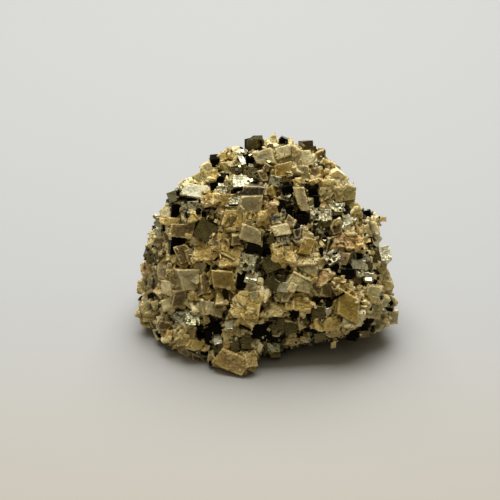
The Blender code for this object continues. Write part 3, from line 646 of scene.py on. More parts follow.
# Small crystals of the front: finish, u, v, width, height, roll.
DETAIL = rows_of("""
    # left edge and left shoulder
    bright -32.4 44.6 0.6 1.4 0
    black -33.4 45.4 1.0 1.0 10
    cream -24.0 47.3 1.3 1.0 15
    cream -22.7 46.4 0.9 0.8 30
    dark -30.3 43.6 2.0 1.4 20
    grey -28.8 42.5 0.9 2.0 5
    tan -29.5 38.5 1.4 4.0 4
    honey -31.8 37.2 1.0 1.6 0
    honey -25.9 35.2 1.6 1.4 5
    brown -23.2 37.0 1.6 3.6 15
    cream -19.5 40.2 4.0 0.6 0
    cream -16.5 41.4 3.2 0.6 48
    black -23.3 49.2 1.8 1.8 10
    cream -22.2 50.4 1.6 0.6 -20
    black -20.5 49.8 1.3 1.1 0
    black -17.8 51.3 1.4 1.2 20
    dark -34.6 36.0 1.4 2.4 10
    # the framed brown face right of them
    ochre -10.0 50.4 6.0 0.8 3
    ochre -13.1 47.6 0.9 5.2 8
    ochre -6.7 47.4 0.9 5.0 -6
    ochre -9.8 44.6 5.6 0.8 -4
    brown -9.4 47.4 3.0 3.0 -8
    cream -10.2 51.7 4.6 0.5 0
    cream -7.1 51.0 1.8 0.5 -47
    black -9.4 52.0 3.2 0.5 2
    # crest
    bright -7.4 66.5 1.0 2.8 28
    black -7.8 56.9 3.3 1.1 4
    cream 0.7 71.2 2.6 1.0 -6
    dark 1.6 69.8 1.2 1.0 0
    black 5.6 71.6 2.6 0.8 -28
    bright 16.5 66.7 0.7 0.6 0
    bright 15.8 65.3 0.6 0.6 20
    black 6.5 56.4 3.4 2.8 12
    black 4.5 53.0 2.0 1.4 -10
    black 7.2 50.4 2.6 2.8 6
    dark 5.2 48.4 1.6 1.4 0
    bright 21.3 52.2 0.9 0.7 20
    bright 22.2 51.2 0.7 0.6 0
    bright 23.1 51.0 0.6 0.6 30
    # heart
    dark -6.7 41.4 2.4 1.2 -20
    black 0.2 38.0 1.4 2.8 5
    black -0.4 41.6 1.2 1.9 0
    dark 4.8 42.5 3.0 0.6 8
    brown 3.0 46.4 3.0 0.9 5
    honey 6.5 39.1 1.8 1.2 0
    honey 4.3 36.8 1.9 1.7 10
    black 9.4 45.2 1.8 1.1 0
    bright 10.4 45.9 1.0 0.9 20
    cream 15.2 47.6 2.2 0.5 0
    cream 13.9 46.6 0.5 2.0 0
    bright 15.8 45.2 1.5 0.7 0
    black 21.6 48.3 2.6 1.6 10
    black 23.8 49.6 2.8 0.9 -5
    black 17.5 41.8 1.3 1.1 0
    black 18.4 43.0 1.1 1.2 20
    cream 14.8 42.4 2.2 0.7 0
    cream 24.5 43.4 5.6 0.9 -2
    black 16.5 38.0 1.3 2.6 0
    black 20.9 37.6 1.4 0.6 0
    brown 13.7 36.8 1.0 0.9 0
    bright 21.1 38.5 0.8 0.5 0
    # right edge
    black 28.0 36.9 1.9 2.0 10
    ochre 30.5 38.2 3.0 0.8 -30
    cream 28.7 38.5 1.6 0.8 0
    black 34.3 41.3 0.7 1.8 0
    black 31.0 41.4 1.8 2.2 15
    bright 27.9 32.0 0.9 1.3 0
    bright 32.3 31.8 1.0 0.6 0
    bright 30.7 29.9 2.2 1.4 -5
    dark 32.7 35.5 1.6 1.6 0
    cream 29.0 47.4 4.0 0.5 -4
    brown 34.4 46.4 0.9 2.6 -12
    # middle belt
    cream -4.3 31.3 2.2 1.4 -16
    bright -4.4 29.9 3.2 0.6 -12
    pitted -4.6 29.0 3.0 0.6 -12
    cream -8.0 32.3 0.7 0.6 0
    black -15.6 33.0 1.5 1.3 20
    black -16.9 29.0 0.8 5.8 25
    cream 10.8 30.7 6.0 0.7 -26
    ochre 8.5 23.9 3.6 1.4 -4
    black 16.0 23.6 3.6 1.3 0
    cream 15.5 25.2 1.8 1.0 10
    cream 23.2 27.0 2.7 0.6 22
    dark -0.2 22.4 1.2 1.6 0
    cream 3.3 24.8 2.4 1.8 5
    black -11.9 23.8 1.3 5.4 18
    grey -11.2 27.4 1.2 1.7 0
    black -13.2 27.0 1.4 1.8 0
    cream -8.9 22.8 3.0 0.6 -54
    # lower left
    black -35.0 24.0 1.8 1.6 10
    ochre -35.5 17.4 3.4 1.2 0
    dark -29.2 18.4 1.1 2.2 0
    black -31.9 11.0 1.8 1.7 20
    black -29.2 11.0 2.8 1.6 -20
    black -31.8 13.2 2.0 2.2 30
    black -22.0 8.6 2.8 1.4 -15
    black -18.6 7.6 2.0 1.3 -20
    black -20.2 15.8 1.8 1.2 -20
    black -19.4 18.0 0.9 3.6 0
    black -17.0 18.8 5.4 0.9 -30
    cream -28.1 25.6 0.7 0.6 0
    mauve -26.0 7.2 4.0 0.7 -28
    bright -15.0 12.0 0.9 1.3 0
    bright -13.9 12.1 0.9 2.1 5
    black -6.2 15.3 3.8 0.7 -22
    # lower middle and right
    cream 8.5 16.8 6.4 0.7 -13
    black 1.4 16.7 1.0 0.9 0
    black 2.9 16.5 0.9 0.8 0
    black 12.5 14.6 4.4 1.3 -5
    black 10.3 13.2 1.8 2.0 0
    mauve 3.0 12.9 2.6 0.7 0
    black 12.9 18.6 1.1 2.3 0
    black 20.1 21.4 0.8 3.6 22
    black 21.6 24.6 4.6 0.7 31
    ochre 29.2 21.6 1.5 3.0 10
    black 30.8 21.1 1.8 1.5 0
    cream 29.8 23.2 3.6 0.9 -26
    black 34.5 24.0 0.9 0.8 0
    cream 36.6 24.8 5.0 0.6 -38
    black 36.5 20.8 3.2 1.2 -6
    black 29.6 16.8 1.3 3.6 0
    black 26.4 13.1 3.2 1.8 -5
    cream 27.2 22.9 0.8 0.7 0
    bright 18.5 20.3 0.8 0.7 0
    cream -20.8 4.8 2.2 1.6 -10
    black -16.5 4.8 1.3 1.2 0
""")
# They lean by up to DETAIL_TILT; a bright one also tips up by GLINT, to catch the light. In mm:
# how far they stand out and how deep they are rooted.
DETAIL_TILT = 20.0
GLINT = 34.0
DETAIL_PROUD = (0.25, 0.55)
DETAIL_ROOT = 1.0
SPECIMEN = "pyrite_specimen"
WELD = 0.01


def welded_cad():
    """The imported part's own surface, as a bmesh in millimetres."""
    bm = bmesh.new()
    bm.from_mesh(bpy.data.objects[SPECIMEN].data)
    bmesh.ops.remove_doubles(bm, verts=bm.verts[:], dist=WELD * MM)
    for vert in bm.verts:
        vert.co /= MM
    bmesh.ops.recalc_face_normals(bm, faces=bm.faces[:])
    return bm


CAD = welded_cad()
CAD_TREE = BVHTree.FromBMesh(CAD)


def cad_in_front(point):
    """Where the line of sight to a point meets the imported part, or None."""
    return CAD_TREE.ray_cast(VIEW_POINT, sight_to(point))[0]


def detail_crystals(looks):
    """Small crystals seated on the surface where the front has them."""
    crystals = []
    for finish, u, v, width, height, roll in DETAIL:
        pitch = looks.uniform(-DETAIL_TILT, DETAIL_TILT) + (GLINT if finish == "bright" else 0)
        yaw = looks.uniform(-DETAIL_TILT, DETAIL_TILT)
        proud = looks.uniform(*DETAIL_PROUD)
        place = layout_point(u, v)
        hit = cad_in_front(place)
        if hit is not None:
            crystals.append(Crystal(finish, hit - sight_to(place) * proud,
                                    turned_axes(roll, pitch, yaw),
                                    (width, height, proud + DETAIL_ROOT)))
    return crystals


LOOKS_SEED = 5
LOOKS = random.Random(LOOKS_SEED)
LARGE = front_crystals(random.Random(FRONT_SEED))
LARGE += bedded_crystals(random.Random(BED_SEED), LOOKS)
SMALL = detail_crystals(LOOKS)

# Small crystals grown on the large ones, nearly parallel to them: their half width as a share of
# the face they sit on, and in mm, their shape, how far they stand out, how far they lean, how far
# off the middle they sit, and how often they keep the large one's finish or turn pale. OUTWARD is
# how far a face has to look away from the mass to carry one.
GROWTH_SHARE = (0.2, 0.5)
GROWTH_LARGEST = 1.2
GROWTH_SMALLEST = 0.35
GROWTH_SHAPE = (0.6, 1.3)
GROWTH_PROUD = (0.1, 0.45)
GROWTH_LEAN = math.radians(9.0)
GROWTH_OFF = (0.2, 0.85)
GROWTH_KEEPS = 0.5
GROWTH_PALE = 0.45
OUTWARD = 0.15


def growth_on(crystal, looks):
    """A small crystal on a face of a large one that looks away from the mass, or None."""
    away = MASS_TREE.find_nearest(crystal.heart * MM)[1].normalized()
    halves = (crystal.width / 2, crystal.height / 2, crystal.depth / 2)
    axes = crystal.axes
    turn, sign = looks.choice([(turn, sign) for turn in range(3) for sign in (-1, 1)
                               if axes[turn].dot(away) * sign > OUTWARD])
    first, second = (turn + 1) % 3, (turn + 2) % 3
    if sign < 0:
        first, second = second, first
    out = axes[turn] * sign
    reach = min(halves[first], halves[second])
    half = min(reach * looks.uniform(*GROWTH_SHARE), GROWTH_LARGEST)
    if half < GROWTH_SMALLEST:
        return None
    proud = looks.uniform(*GROWTH_PROUD)
    middle = crystal.heart + out * (halves[turn] + proud)
    for index in (first, second):
        off = looks.choice((-1, 1)) * looks.uniform(*GROWTH_OFF)
        middle = middle + axes[index] * halves[index] * off
    lean = Quaternion(Vector([looks.gauss(0, 1) for _ in range(3)]).normalized(),
                      looks.uniform(-GROWTH_LEAN, GROWTH_LEAN))
    finish = crystal.finish
    if looks.random() > GROWTH_KEEPS:
        finish = any_finish(crystal.mineral, looks)
        if crystal.mineral == "rhomb" and looks.random() < GROWTH_PALE:
            finish = looks.choice(("cream", "ochre"))
    # a sugary crystal stays bare
    if crystal.finish == "sandy":
        return None
    turned = (lean @ axes[first], lean @ axes[second], lean @ out)
    size = (2 * half, 2 * half * looks.uniform(*GROWTH_SHAPE), proud + 2 * half)
    return Crystal(finish, middle, turned, size, crystal.skew)


for large in LARGE:
    growth = growth_on(large, LOOKS)
    if growth is not None:
        SMALL.append(growth)

# Crystals that fill the clefts between the large ones. A cleft is a place lower than the ground
# round it. All in mm: how far round is looked, from how high, how much lower a cleft is, and the
# spacing and width of the crystals in it. Shape and sink are shares of the width.
CLEFT_TRIES = 30000
CLEFT_LOWEST = 0.5
CLEFT_ROUND = 2.2
CLEFT_SIDES = 8
CLEFT_SKY = 9.0
CLEFT_DEEP = 0.35
CLEFT_DEEPEST = 4.0
CLEFT_SPACING = 1.45
CLEFT_WIDTH = (1.4, 3.6)
CLEFT_SHAPE = (0.65, 1.15)
CLEFT_SINK = (0.45, 0.8)

# Patches of the front rich in pyrite: u, v, radius. Behind, noise makes patches of its own.
PYRITE_PATCHES = [
    (-5, 64, 7), (-25, 52, 5), (8, 54, 5), (13, 47, 6), (20, 47, 6), (30, 48, 4), (0, 35, 6),
    (30, 36, 7), (22, 33, 4), (-18, 13, 5), (5, 12, 6), (12, 18, 5), (31, 18, 4), (-22, 20, 3),
    (16, 68, 3), (-18, 46, 4), (-36, 37, 3), (10, 12, 5), (17, 12, 5), (24, 12, 5), (29, 13, 4),
    (-13, 12, 5), (2, 29, 4),
]
PATCH_SOFT = 2.0
BACK_PATCH = 9.0
BACK_SHARE = 0.12

# How often a small crystal is pyrite outside and inside a patch, and how often it follows the
# finish of the large ones round it. A small crystal may not stand before a large one's face by
# more than HIDES, and may not reach over its edge by more than OVERLAP of its own half width.
STRAY_PYRITE = 0.2
PATCH_PYRITE = 0.9
FOLLOWS = 0.85
HIDES = 0.4
OVERLAP = 0.5
LOWEST_SMALL = 0.8
MOST_PAST_OUTLINE = 2
PLAN = DETAIL + FRONT


def patchiness(point, normal, patches, sign):
    """How far a place lies inside a patch of the front, or of the noise behind: 0 to 1."""
    if not looks_at_camera(point, normal):
        return 1.0 if noise.noise(point / BACK_PATCH) * sign > BACK_SHARE else 0.0
    place = layout_place(point)
    share = 0.0
    for u, v, radius in patches:
        gap = (place - Vector((u, v))).length
        share = max(share, min(1.0, max(0.0, (radius + PATCH_SOFT - gap) / PATCH_SOFT)))
    return share


def finish_at(place):
    """The finish of the front crystal that covers a place, or comes nearest to it."""
    nearest = math.inf
    found = "tan"
    for finish, u, v, width, height, roll, *_ in PLAN:
        turn = math.radians(-roll)
        gap = place - Vector((u, v))
        x = gap.x * math.cos(turn) - gap.y * math.sin(turn)
        y = gap.x * math.sin(turn) + gap.y * math.cos(turn)
        off = max(abs(x) - width / 2, abs(y) - height / 2, 0.0)
        if off < nearest:
            nearest = off
            found = finish
        if not nearest:
            break
    return found


def cleft_finish(point, normal, looks):
    """On the front a small crystal mostly follows the large ones round it."""
    if looks_at_camera(point, normal) and looks.random() < FOLLOWS:
        return finish_at(layout_place(point))
    rich = max(patchiness(point, normal, PYRITE_PATCHES, 1) * PATCH_PYRITE, STRAY_PYRITE)
    return any_finish("pyrite" if looks.random() < rich else "rhomb", looks)


def hides_a_face(heart, half):
    """True if a small crystal would stand in front of a large one's face."""
    hit = cad_in_front(heart)
    if hit is None or (hit - VIEW_POINT).length < (heart - VIEW_POINT).length - half + HIDES:
        return False
    place = layout_place(heart)
    over = half * OVERLAP
    return any(abs(place.x - u) < width / 2 + over and abs(place.y - v) < height / 2 + over
               for _, u, v, width, height, *_ in FRONT)


def corners_past_outline(crystal):
    """How many of a crystal's corners are seen past the edge of the specimen."""
    across, along, out = crystal.axes
    return sum(cad_in_front(crystal.middle + across * a * crystal.width
                            + along * b * crystal.height - out * inward * crystal.depth) is None
               for a in (-0.5, 0.5) for b in (-0.5, 0.5) for inward in (0.0, 1.0))


def rise_round(point, normal):
    """How much higher the ground round a point is, on average, along the normal."""
    aside = normal.orthogonal().normalized()
    rise = 0.0
    for turn in range(CLEFT_SIDES):
        way = Quaternion(normal, math.tau * turn / CLEFT_SIDES) @ aside
        start = point + way * CLEFT_ROUND + normal * CLEFT_SKY
        hit = CAD_TREE.ray_cast(start, -normal)[0]
        if hit is not None:
            rise += min(max((hit - point).dot(normal), -CLEFT_DEEPEST), CLEFT_DEEPEST)
        else:
            rise -= CLEFT_DEEPEST
    return rise / CLEFT_SIDES


def cleft_crystals(looks):
    """Small crystals at every angle, in the clefts all over."""
    ground = Ground([[vert.co for vert in face.verts] for face in CAD.faces])
    placed = SpacedPoints(CLEFT_SPACING)
    crystals = []
    for _ in range(CLEFT_TRIES):
        point = ground.pick(looks)[0]
        if point.z < CLEFT_LOWEST or placed.near(point):
            continue
        normal = MASS_TREE.find_nearest(point * MM)[1].normalized()
        rise = rise_round(point, normal)
        if rise < CLEFT_DEEP:
            continue
        placed.add(point)
        finish = cleft_finish(point, normal, looks)
        mineral = FINISHES[finish][0]
        width = looks.uniform(*CLEFT_WIDTH) * (CUBE_SIZE if mineral == "pyrite" else 1.0)
        height = width * looks.uniform(*CLEFT_SHAPE)
        axes = random_axes(looks)
        heart = point + normal * (rise - width * looks.uniform(*CLEFT_SINK))
        if hides_a_face(heart, width / 2):
            continue
        skew = random_skew(mineral, looks)
        middle = heart + axes[2] * height / 2
        crystals.append(Crystal(finish, middle, axes, (width, height, height), skew))
    return crystals


SMALL += cleft_crystals(LOOKS)
SMALL = [crystal for crystal in SMALL if crystal.heart.z > LOWEST_SMALL
         and corners_past_outline(crystal) <= MOST_PAST_OUTLINE]
LARGE = LARGE[:len(FRONT)] + [crystal for crystal in LARGE[len(FRONT):]
                              if not corners_past_outline(crystal)]


# ---------------------------------------------------------------------------------------------
# The tan crystals. Skewed blocks of an iron carbonate, clear and grey inside and stained ochre
# outside, with worn, sugary edges and growth facets. They grew into each other on the mass, and
# are four pieces: three of the front, by height, and one of the back.
# ---------------------------------------------------------------------------------------------

# How a crystal is worn: how deep corners and edges are knocked off and how far its corners are
# out of true, as shares of its width, and how wide a cube's edges are rounded, in mm and at most
# as a share of its width. Crystals wider than WHOLE_WIDTH are chipped less.
CHIP_DEPTH = (0.06, 0.30)
CHIP_COUNT = {"pyrite": 1, "rhomb": 5}
WHOLE_WIDTH = 5.5
WHOLE_CHIP = 0.75
OUT_OF_TRUE = {"pyrite": 0.0, "rhomb": 0.09}
EDGE_WEAR = 0.08
EDGE_SHARE = 1 / 8

# How far shades spread from crystal to crystal, less for those wider than SHADE_LARGE, and from
# face to face, and how far the hue of a crystal strays.
SHADE_SPREAD = 0.30
SHADE_LARGE = 3.0
SHADE_CALM = 0.35
FACE_SPREAD = {"pyrite": 0.16, "rhomb": 0.36}
HUE_SPREAD = 0.02
BOX_SLACK = 0.02
BOX_LOW = cad_box[0] / MM
BOX_HIGH = cad_box[1] / MM


def linear(colour):
    """A daylight colour, 0 to 255, as the renderer counts light."""
    shares = [channel / 255 for channel in colour]
    return [s / 12.92 if s <= 0.04045 else ((s + 0.055) / 1.055) ** 2.4 for s in shares]


def sharp_block(crystal, looks):
    """A crystal with whole edges, as a bmesh in its own axes."""
    bm = bmesh.new()
    corners = []
    untrue = OUT_OF_TRUE[crystal.mineral] * min(crystal.width, crystal.height)
    for back in (0.0, crystal.depth):
        for side, rise in ((-1, -1), (1, -1), (1, 1), (-1, 1)):
            slide = crystal.skew * rise * crystal.height / 2
            corner = Vector((side * crystal.width / 2 + slide, rise * crystal.height / 2, -back))
            corner += Vector([looks.uniform(-untrue, untrue) for _ in range(3)])
            corners.append(bm.verts.new(corner))
    front, behind = corners[:4], corners[4:]
    bm.faces.new(front)
    bm.faces.new(behind[::-1])
    for index in range(4):
        after = (index + 1) % 4
        bm.faces.new((front[after], front[index], behind[index], behind[after]))
    return bm


def cut_off(bm, point, normal):
    """Cut away what lies beyond a plane and close the cut."""
    geometry = bm.verts[:] + bm.edges[:] + bm.faces[:]
    cut = bmesh.ops.bisect_plane(bm, geom=geometry, plane_co=point, plane_no=normal,
                                 clear_outer=True)["geom_cut"]
    edges = [item for item in cut if isinstance(item, bmesh.types.BMEdge)]
    if len(edges) > 2:
        bmesh.ops.contextual_create(bm, geom=edges)


def knock_corners(bm, crystal, looks):
    """Break some of a block's corners and edges away."""
    for _ in range(looks.randint(0, CHIP_COUNT[crystal.mineral])):
        signs = [looks.choice((-1, 1)) for _ in range(3)]
        normal = Vector([sign * looks.uniform(0.0, 1.0) for sign in signs]).normalized()
        reach = max(vert.co.dot(normal) for vert in bm.verts)
        depth = looks.uniform(*CHIP_DEPTH) * min(crystal.width, crystal.height)
        if crystal.width > WHOLE_WIDTH:
            depth *= WHOLE_CHIP
        cut_off(bm, normal * (reach - depth), normal)


def worn_block(crystal, looks):
    """A crystal as a bmesh, in place, in mm, or None where it lies below the table."""
    bm = sharp_block(crystal, looks)
    knock_corners(bm, crystal, looks)
    pose = Matrix(crystal.axes).transposed().to_4x4()
    pose.translation = crystal.middle
    bmesh.ops.transform(bm, matrix=pose, verts=bm.verts[:])
    heights = [vert.co.z for vert in bm.verts]
    if max(heights) < 0:
        bm.free()
        return None
    if min(heights) < 0:
        cut_off(bm, Vector((0, 0, 0)), Vector((0, 0, -1)))
    if crystal.mineral == "pyrite":
        wear = min(EDGE_WEAR, min(crystal.width, crystal.height) * EDGE_SHARE)
        bmesh.ops.bevel(bm, geom=bm.edges[:], offset=wear, offset_type="OFFSET", segments=1,
                        profile=0.5, affect="EDGES", clamp_overlap=True)
    return bm


class Cluster:
    """Crystals of one mineral gathered into one mesh, each with its own colour."""

    def __init__(self):
        self.places = []
        self.faces = []
        self.owners = []
        self.stains = []

    def take(self, crystal, bm, looks):
        """Add one worn block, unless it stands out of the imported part's box."""
        if any(not BOX_LOW[axis] - BOX_SLACK <= vert.co[axis] <= BOX_HIGH[axis] + BOX_SLACK
               for vert in bm.verts for axis in range(3)):
            return
        large = crystal.width > SHADE_LARGE
        shade = 1.0 + looks.uniform(-1.0, 1.0) * SHADE_SPREAD * (SHADE_CALM if large else 1.0)
        stain = [channel * shade * (1.0 + looks.uniform(-HUE_SPREAD, HUE_SPREAD))
                 for channel in linear(FINISHES[crystal.finish][1])]
        crystal.seed = looks.random()
        first = len(self.places)
        bm.verts.index_update()
        self.places.extend(vert.co.copy() for vert in bm.verts)
        spread = FACE_SPREAD[crystal.mineral]
        shades = {}
        for face in bm.faces:
            face.normal_update()
            side = tuple(round(face.normal.dot(axis)) for axis in crystal.axes)
            if side not in shades:
                shades[side] = 1.0 + looks.uniform(-spread, spread)
                if side == (0, 0, 1) and large:
                    shades[side] = 1.0
            self.faces.append([first + vert.index for vert in face.verts])
            self.owners.append(crystal)
            self.stains.append((*(channel * shades[side] for channel in stain), 1.0))

    def mesh(self, name):
        mesh = bpy.data.meshes.new(name)
        mesh.from_pydata([place * MM for place in self.places], [], self.faces)
        return mesh


# The skin of the tan crystals, in mm: its facets, how far from an edge the pale rim and the dull
# middle reach, how its faces swell, how its edges crumble, how fine its grain is, and how large
# and high the growth facets of the stained finishes are.
SKIN_STEP = {"tan_crystals_upper": 0.30, "tan_crystals_middle": 0.30,
             "tan_crystals_lower": 0.30, "tan_crystals_back": 0.52}
RIM_REACH = (0.3, 1.6)
RIM_CLOUD = 2.4
CORE_REACH = 2.2
SWELL = 0.16
SWELL_LENGTH = 2.6
CRUMBLE = 0.28
CRUMBLE_REACH = 1.1
CRUMBLE_LENGTH = 0.8
SKIN_GRAIN = 0.05
SKIN_GRAIN_LENGTH = 0.5
HOLLOW_SMOOTHING = 2
FACET_CELL = 3.2
FACET_EDGE = 0.10
FACET_CALM = 0.6
FACET_HEIGHT = {"ochre": 2.4, "orange": 2.2, "tan": 1.2}
CELL_STRIDE = 17.0
MIDDLE_SHARE = 0.5
CELL_MIDDLE = Vector((MIDDLE_SHARE, MIDDLE_SHARE, MIDDLE_SHARE))


def write_attributes(mesh, domain, **columns):
    """Attributes by name, each as its kind and its values."""
    keys = {"FLOAT_COLOR": "color", "FLOAT_VECTOR": "vector", "FLOAT": "value"}
    for title, (kind, values) in columns.items():
        mesh.attributes.new(title, kind, domain).data.foreach_set(keys[kind], values)


def mesh_as_built(obj):
    """The object's mesh, with its modifiers applied; the object goes."""
    bpy.context.view_layer.update()
    mesh = bpy.data.meshes.new_from_object(
        obj.evaluated_get(bpy.context.evaluated_depsgraph_get()))
    bpy.data.objects.remove(obj, do_unlink=True)
    return mesh


def even_facets(obj, step):
    """The object's mesh, with its modifiers applied, in facets of one size."""
    even = obj.modifiers.new("even facets", "REMESH")
    even.mode = "VOXEL"
    even.voxel_size = step * MM
    return mesh_as_built(obj)


def move_to(mesh, places):
    """Move each vertex to its new place, given in mm."""
    for vert, place in zip(mesh.vertices, places):
        vert.co = place * MM


def growth_facet(place):
    """Lift of the flat growth facet a place is on, and how near it is to the facet's edge."""
    reach, hearts = noise.voronoi(place / FACET_CELL)
    lean = noise.cell_vector(hearts[0] * CELL_STRIDE) - CELL_MIDDLE
    lift = (place / FACET_CELL - hearts[0]).dot(lean)
    return lift, max(0.0, 1.0 - (reach[1] - reach[0]) / FACET_EDGE)


def skin_lift(crystal, place, off_edge):
    """How far the skin stands off a block's face, and how near a facet's edge it is there."""
    height = FACET_HEIGHT.get(crystal.finish, 0.0)
    facet, ridge = growth_facet(place) if height else (0.0, 0.0)
    crumb = max(0.0, noise.noise(place / CRUMBLE_LENGTH))
    if crystal.width > WHOLE_WIDTH:
        height *= FACET_CALM
        crumb *= 1.0 if height else WHOLE_CHIP
    lift = noise.noise(place / SWELL_LENGTH) * SWELL + facet * height
    lift += noise.noise(place / SKIN_GRAIN_LENGTH) * SKIN_GRAIN
    lift -= crumb * CRUMBLE * max(0.0, 1.0 - off_edge / CRUMBLE_REACH)
    return lift, ridge


def hollowness(mesh):
    """How far each vertex lies below those round it, in mm: above 0 in a hollow."""
    count = len(mesh.vertices)
    places = np.empty(3 * count)
    normals = np.empty(3 * count)
    ends = np.empty(2 * len(mesh.edges), dtype=np.int64)
    mesh.vertices.foreach_get("co", places)
    mesh.vertices.foreach_get("normal", normals)
    mesh.edges.foreach_get("vertices", ends)
    places = places.reshape(-1, 3) / MM
    normals = normals.reshape(-1, 3)
    one, other = ends.reshape(-1, 2).T
    links = np.bincount(ends, minlength=count)
    step = places[other] - places[one]
    depth = np.bincount(one, (step * normals[one]).sum(1), count)
    depth -= np.bincount(other, (step * normals[other]).sum(1), count)
    depth /= links
    for _ in range(HOLLOW_SMOOTHING):
        total = np.bincount(one, depth[other], count) + np.bincount(other, depth[one], count)
        depth = (depth + total) / (links + 1)
    return depth


def tan_skin(cluster, name):
    """The blocks joined in one crumbled skin, with what the tan finish reads."""
    mesh = even_facets(add_object(name, cluster.mesh(name)), SKIN_STEP[name])
    tree = BVHTree.FromPolygons(cluster.places, cluster.faces)
    borders = []
    for face in cluster.faces:
        corners = [cluster.places[index] for index in face]
        borders.append([(start, (end - start).normalized())
                        for start, end in zip(corners, corners[1:] + corners[:1])])
    stains, rims, cores, frosts, seeds, own, moved = [], [], [], [], [], [], []
    for vert in mesh.vertices:
        place = vert.co / MM
        near = tree.find_nearest(place)[2]
        crystal = cluster.owners[near]
        own.extend(crystal.own_place(place))
        off_edge = min((place - start).cross(way).length for start, way in borders[near])
        cloud = min(1.0, max(0.0, MIDDLE_SHARE + noise.noise(place / RIM_CLOUD)))
        rim = max(0.0, 1.0 - off_edge / (RIM_REACH[0] + (RIM_REACH[1] - RIM_REACH[0]) * cloud))
        lift, ridge = skin_lift(crystal, place, off_edge)
        place += vert.normal * lift
        for axis in range(3):
            place[axis] = min(max(place[axis], BOX_LOW[axis]), BOX_HIGH[axis])
        moved.append(place)
        stains.extend(cluster.stains[near])
        rims.append(max(rim, ridge))
        cores.append(min(1.0, off_edge / CORE_REACH))
        frosts.append(crystal.frost)
        seeds.append(crystal.seed)
    move_to(mesh, moved)
    mesh.update()
    write_attributes(mesh, "POINT", stain=("FLOAT_COLOR", stains), own=("FLOAT_VECTOR", own),
                     hollow=("FLOAT", hollowness(mesh)), rim=("FLOAT", rims),
                     core=("FLOAT", cores), frost=("FLOAT", frosts), seed=("FLOAT", seeds))
    return mesh


class Wire:
    """A node's socket, on which arithmetic adds Math nodes."""

    def __init__(self, graph, socket):
        self.graph = graph
        self.socket = socket

    def output(self, key):
        """Another output of the same node."""
        return Wire(self.graph, self.socket.node.outputs[key])

    def math(self, operation, one, other):
        return self.graph.add("ShaderNodeMath", {0: one, 1: other}, operation=operation)

    def __add__(self, other):
        return self.math("ADD", self, other)

    def __sub__(self, other):
        return self.math("SUBTRACT", self, other)

    def __rsub__(self, other):
        return self.math("SUBTRACT", other, self)

    def __mul__(self, other):
        return self.math("MULTIPLY", self, other)

    __radd__ = __add__
    __rmul__ = __mul__

    def above(self, low, high):
        """0 below low, 1 above high, smooth between."""
        return self.graph.add("ShaderNodeMapRange", {0: self, 1: low, 2: high},
                              interpolation_type="SMOOTHSTEP")


class Graph:
    """A tree of nodes, of a material or of a shape."""

    def __init__(self, tree):
        self.tree = tree

    def feed(self, socket, value):
        """Link a wire to a socket, or set the socket's own value."""
        if isinstance(value, Wire):
            self.tree.links.new(value.socket, socket)
        else:
            socket.default_value = value

    def add(self, kind, sockets=None, output=0, stops=None, **settings):
        """Add a node: its settings first, then its sockets by name or number."""
        node = self.tree.nodes.new(kind)
        for name, value in settings.items():
            setattr(node, name, value)
        if stops:
            ramp = node.color_ramp
            while len(ramp.elements) < len(stops):
                ramp.elements.new(1.0)
            for element, (place, colour) in zip(ramp.elements, stops):
                element.position = place
                element.color = (*linear(colour), 1.0)
        for name, value in (sockets or {}).items():
            self.feed(node.inputs[name], value)
        return Wire(self, node.outputs[output]) if node.outputs else None

    def blend(self, share, one, other, mode="MIX"):
        """Two colours mixed, each a wire or three channels."""
        one, other = (value if isinstance(value, Wire) else (*value, 1.0)
                      for value in (one, other))
        return self.add("ShaderNodeMix", {0: share, 6: one, 7: other}, output=2,
                        data_type="RGBA", blend_type=mode)

    def coats(self, base, *layers):
        """Daylight colours laid over a base in turn: how strongly each one shows, and itself."""
        for share, colour in layers:
            base = self.blend(share, base, linear(colour))
        return base

    def ramp(self, value, tints):
        return self.add("ShaderNodeValToRGB", {"Fac": value}, stops=tints)

    def part(self, vector, output=0):
        """One part of a vector: 0, 1 or 2."""
        return self.add("ShaderNodeSeparateXYZ", {"Vector": vector}, output=output)

    def vector(self, operation, one, other):
        return self.add("ShaderNodeVectorMath", {0: one, 1: other}, operation=operation)

    def scaled(self, vector, scale):
        return self.add("ShaderNodeVectorMath", {0: vector, "Scale": scale}, operation="SCALE")


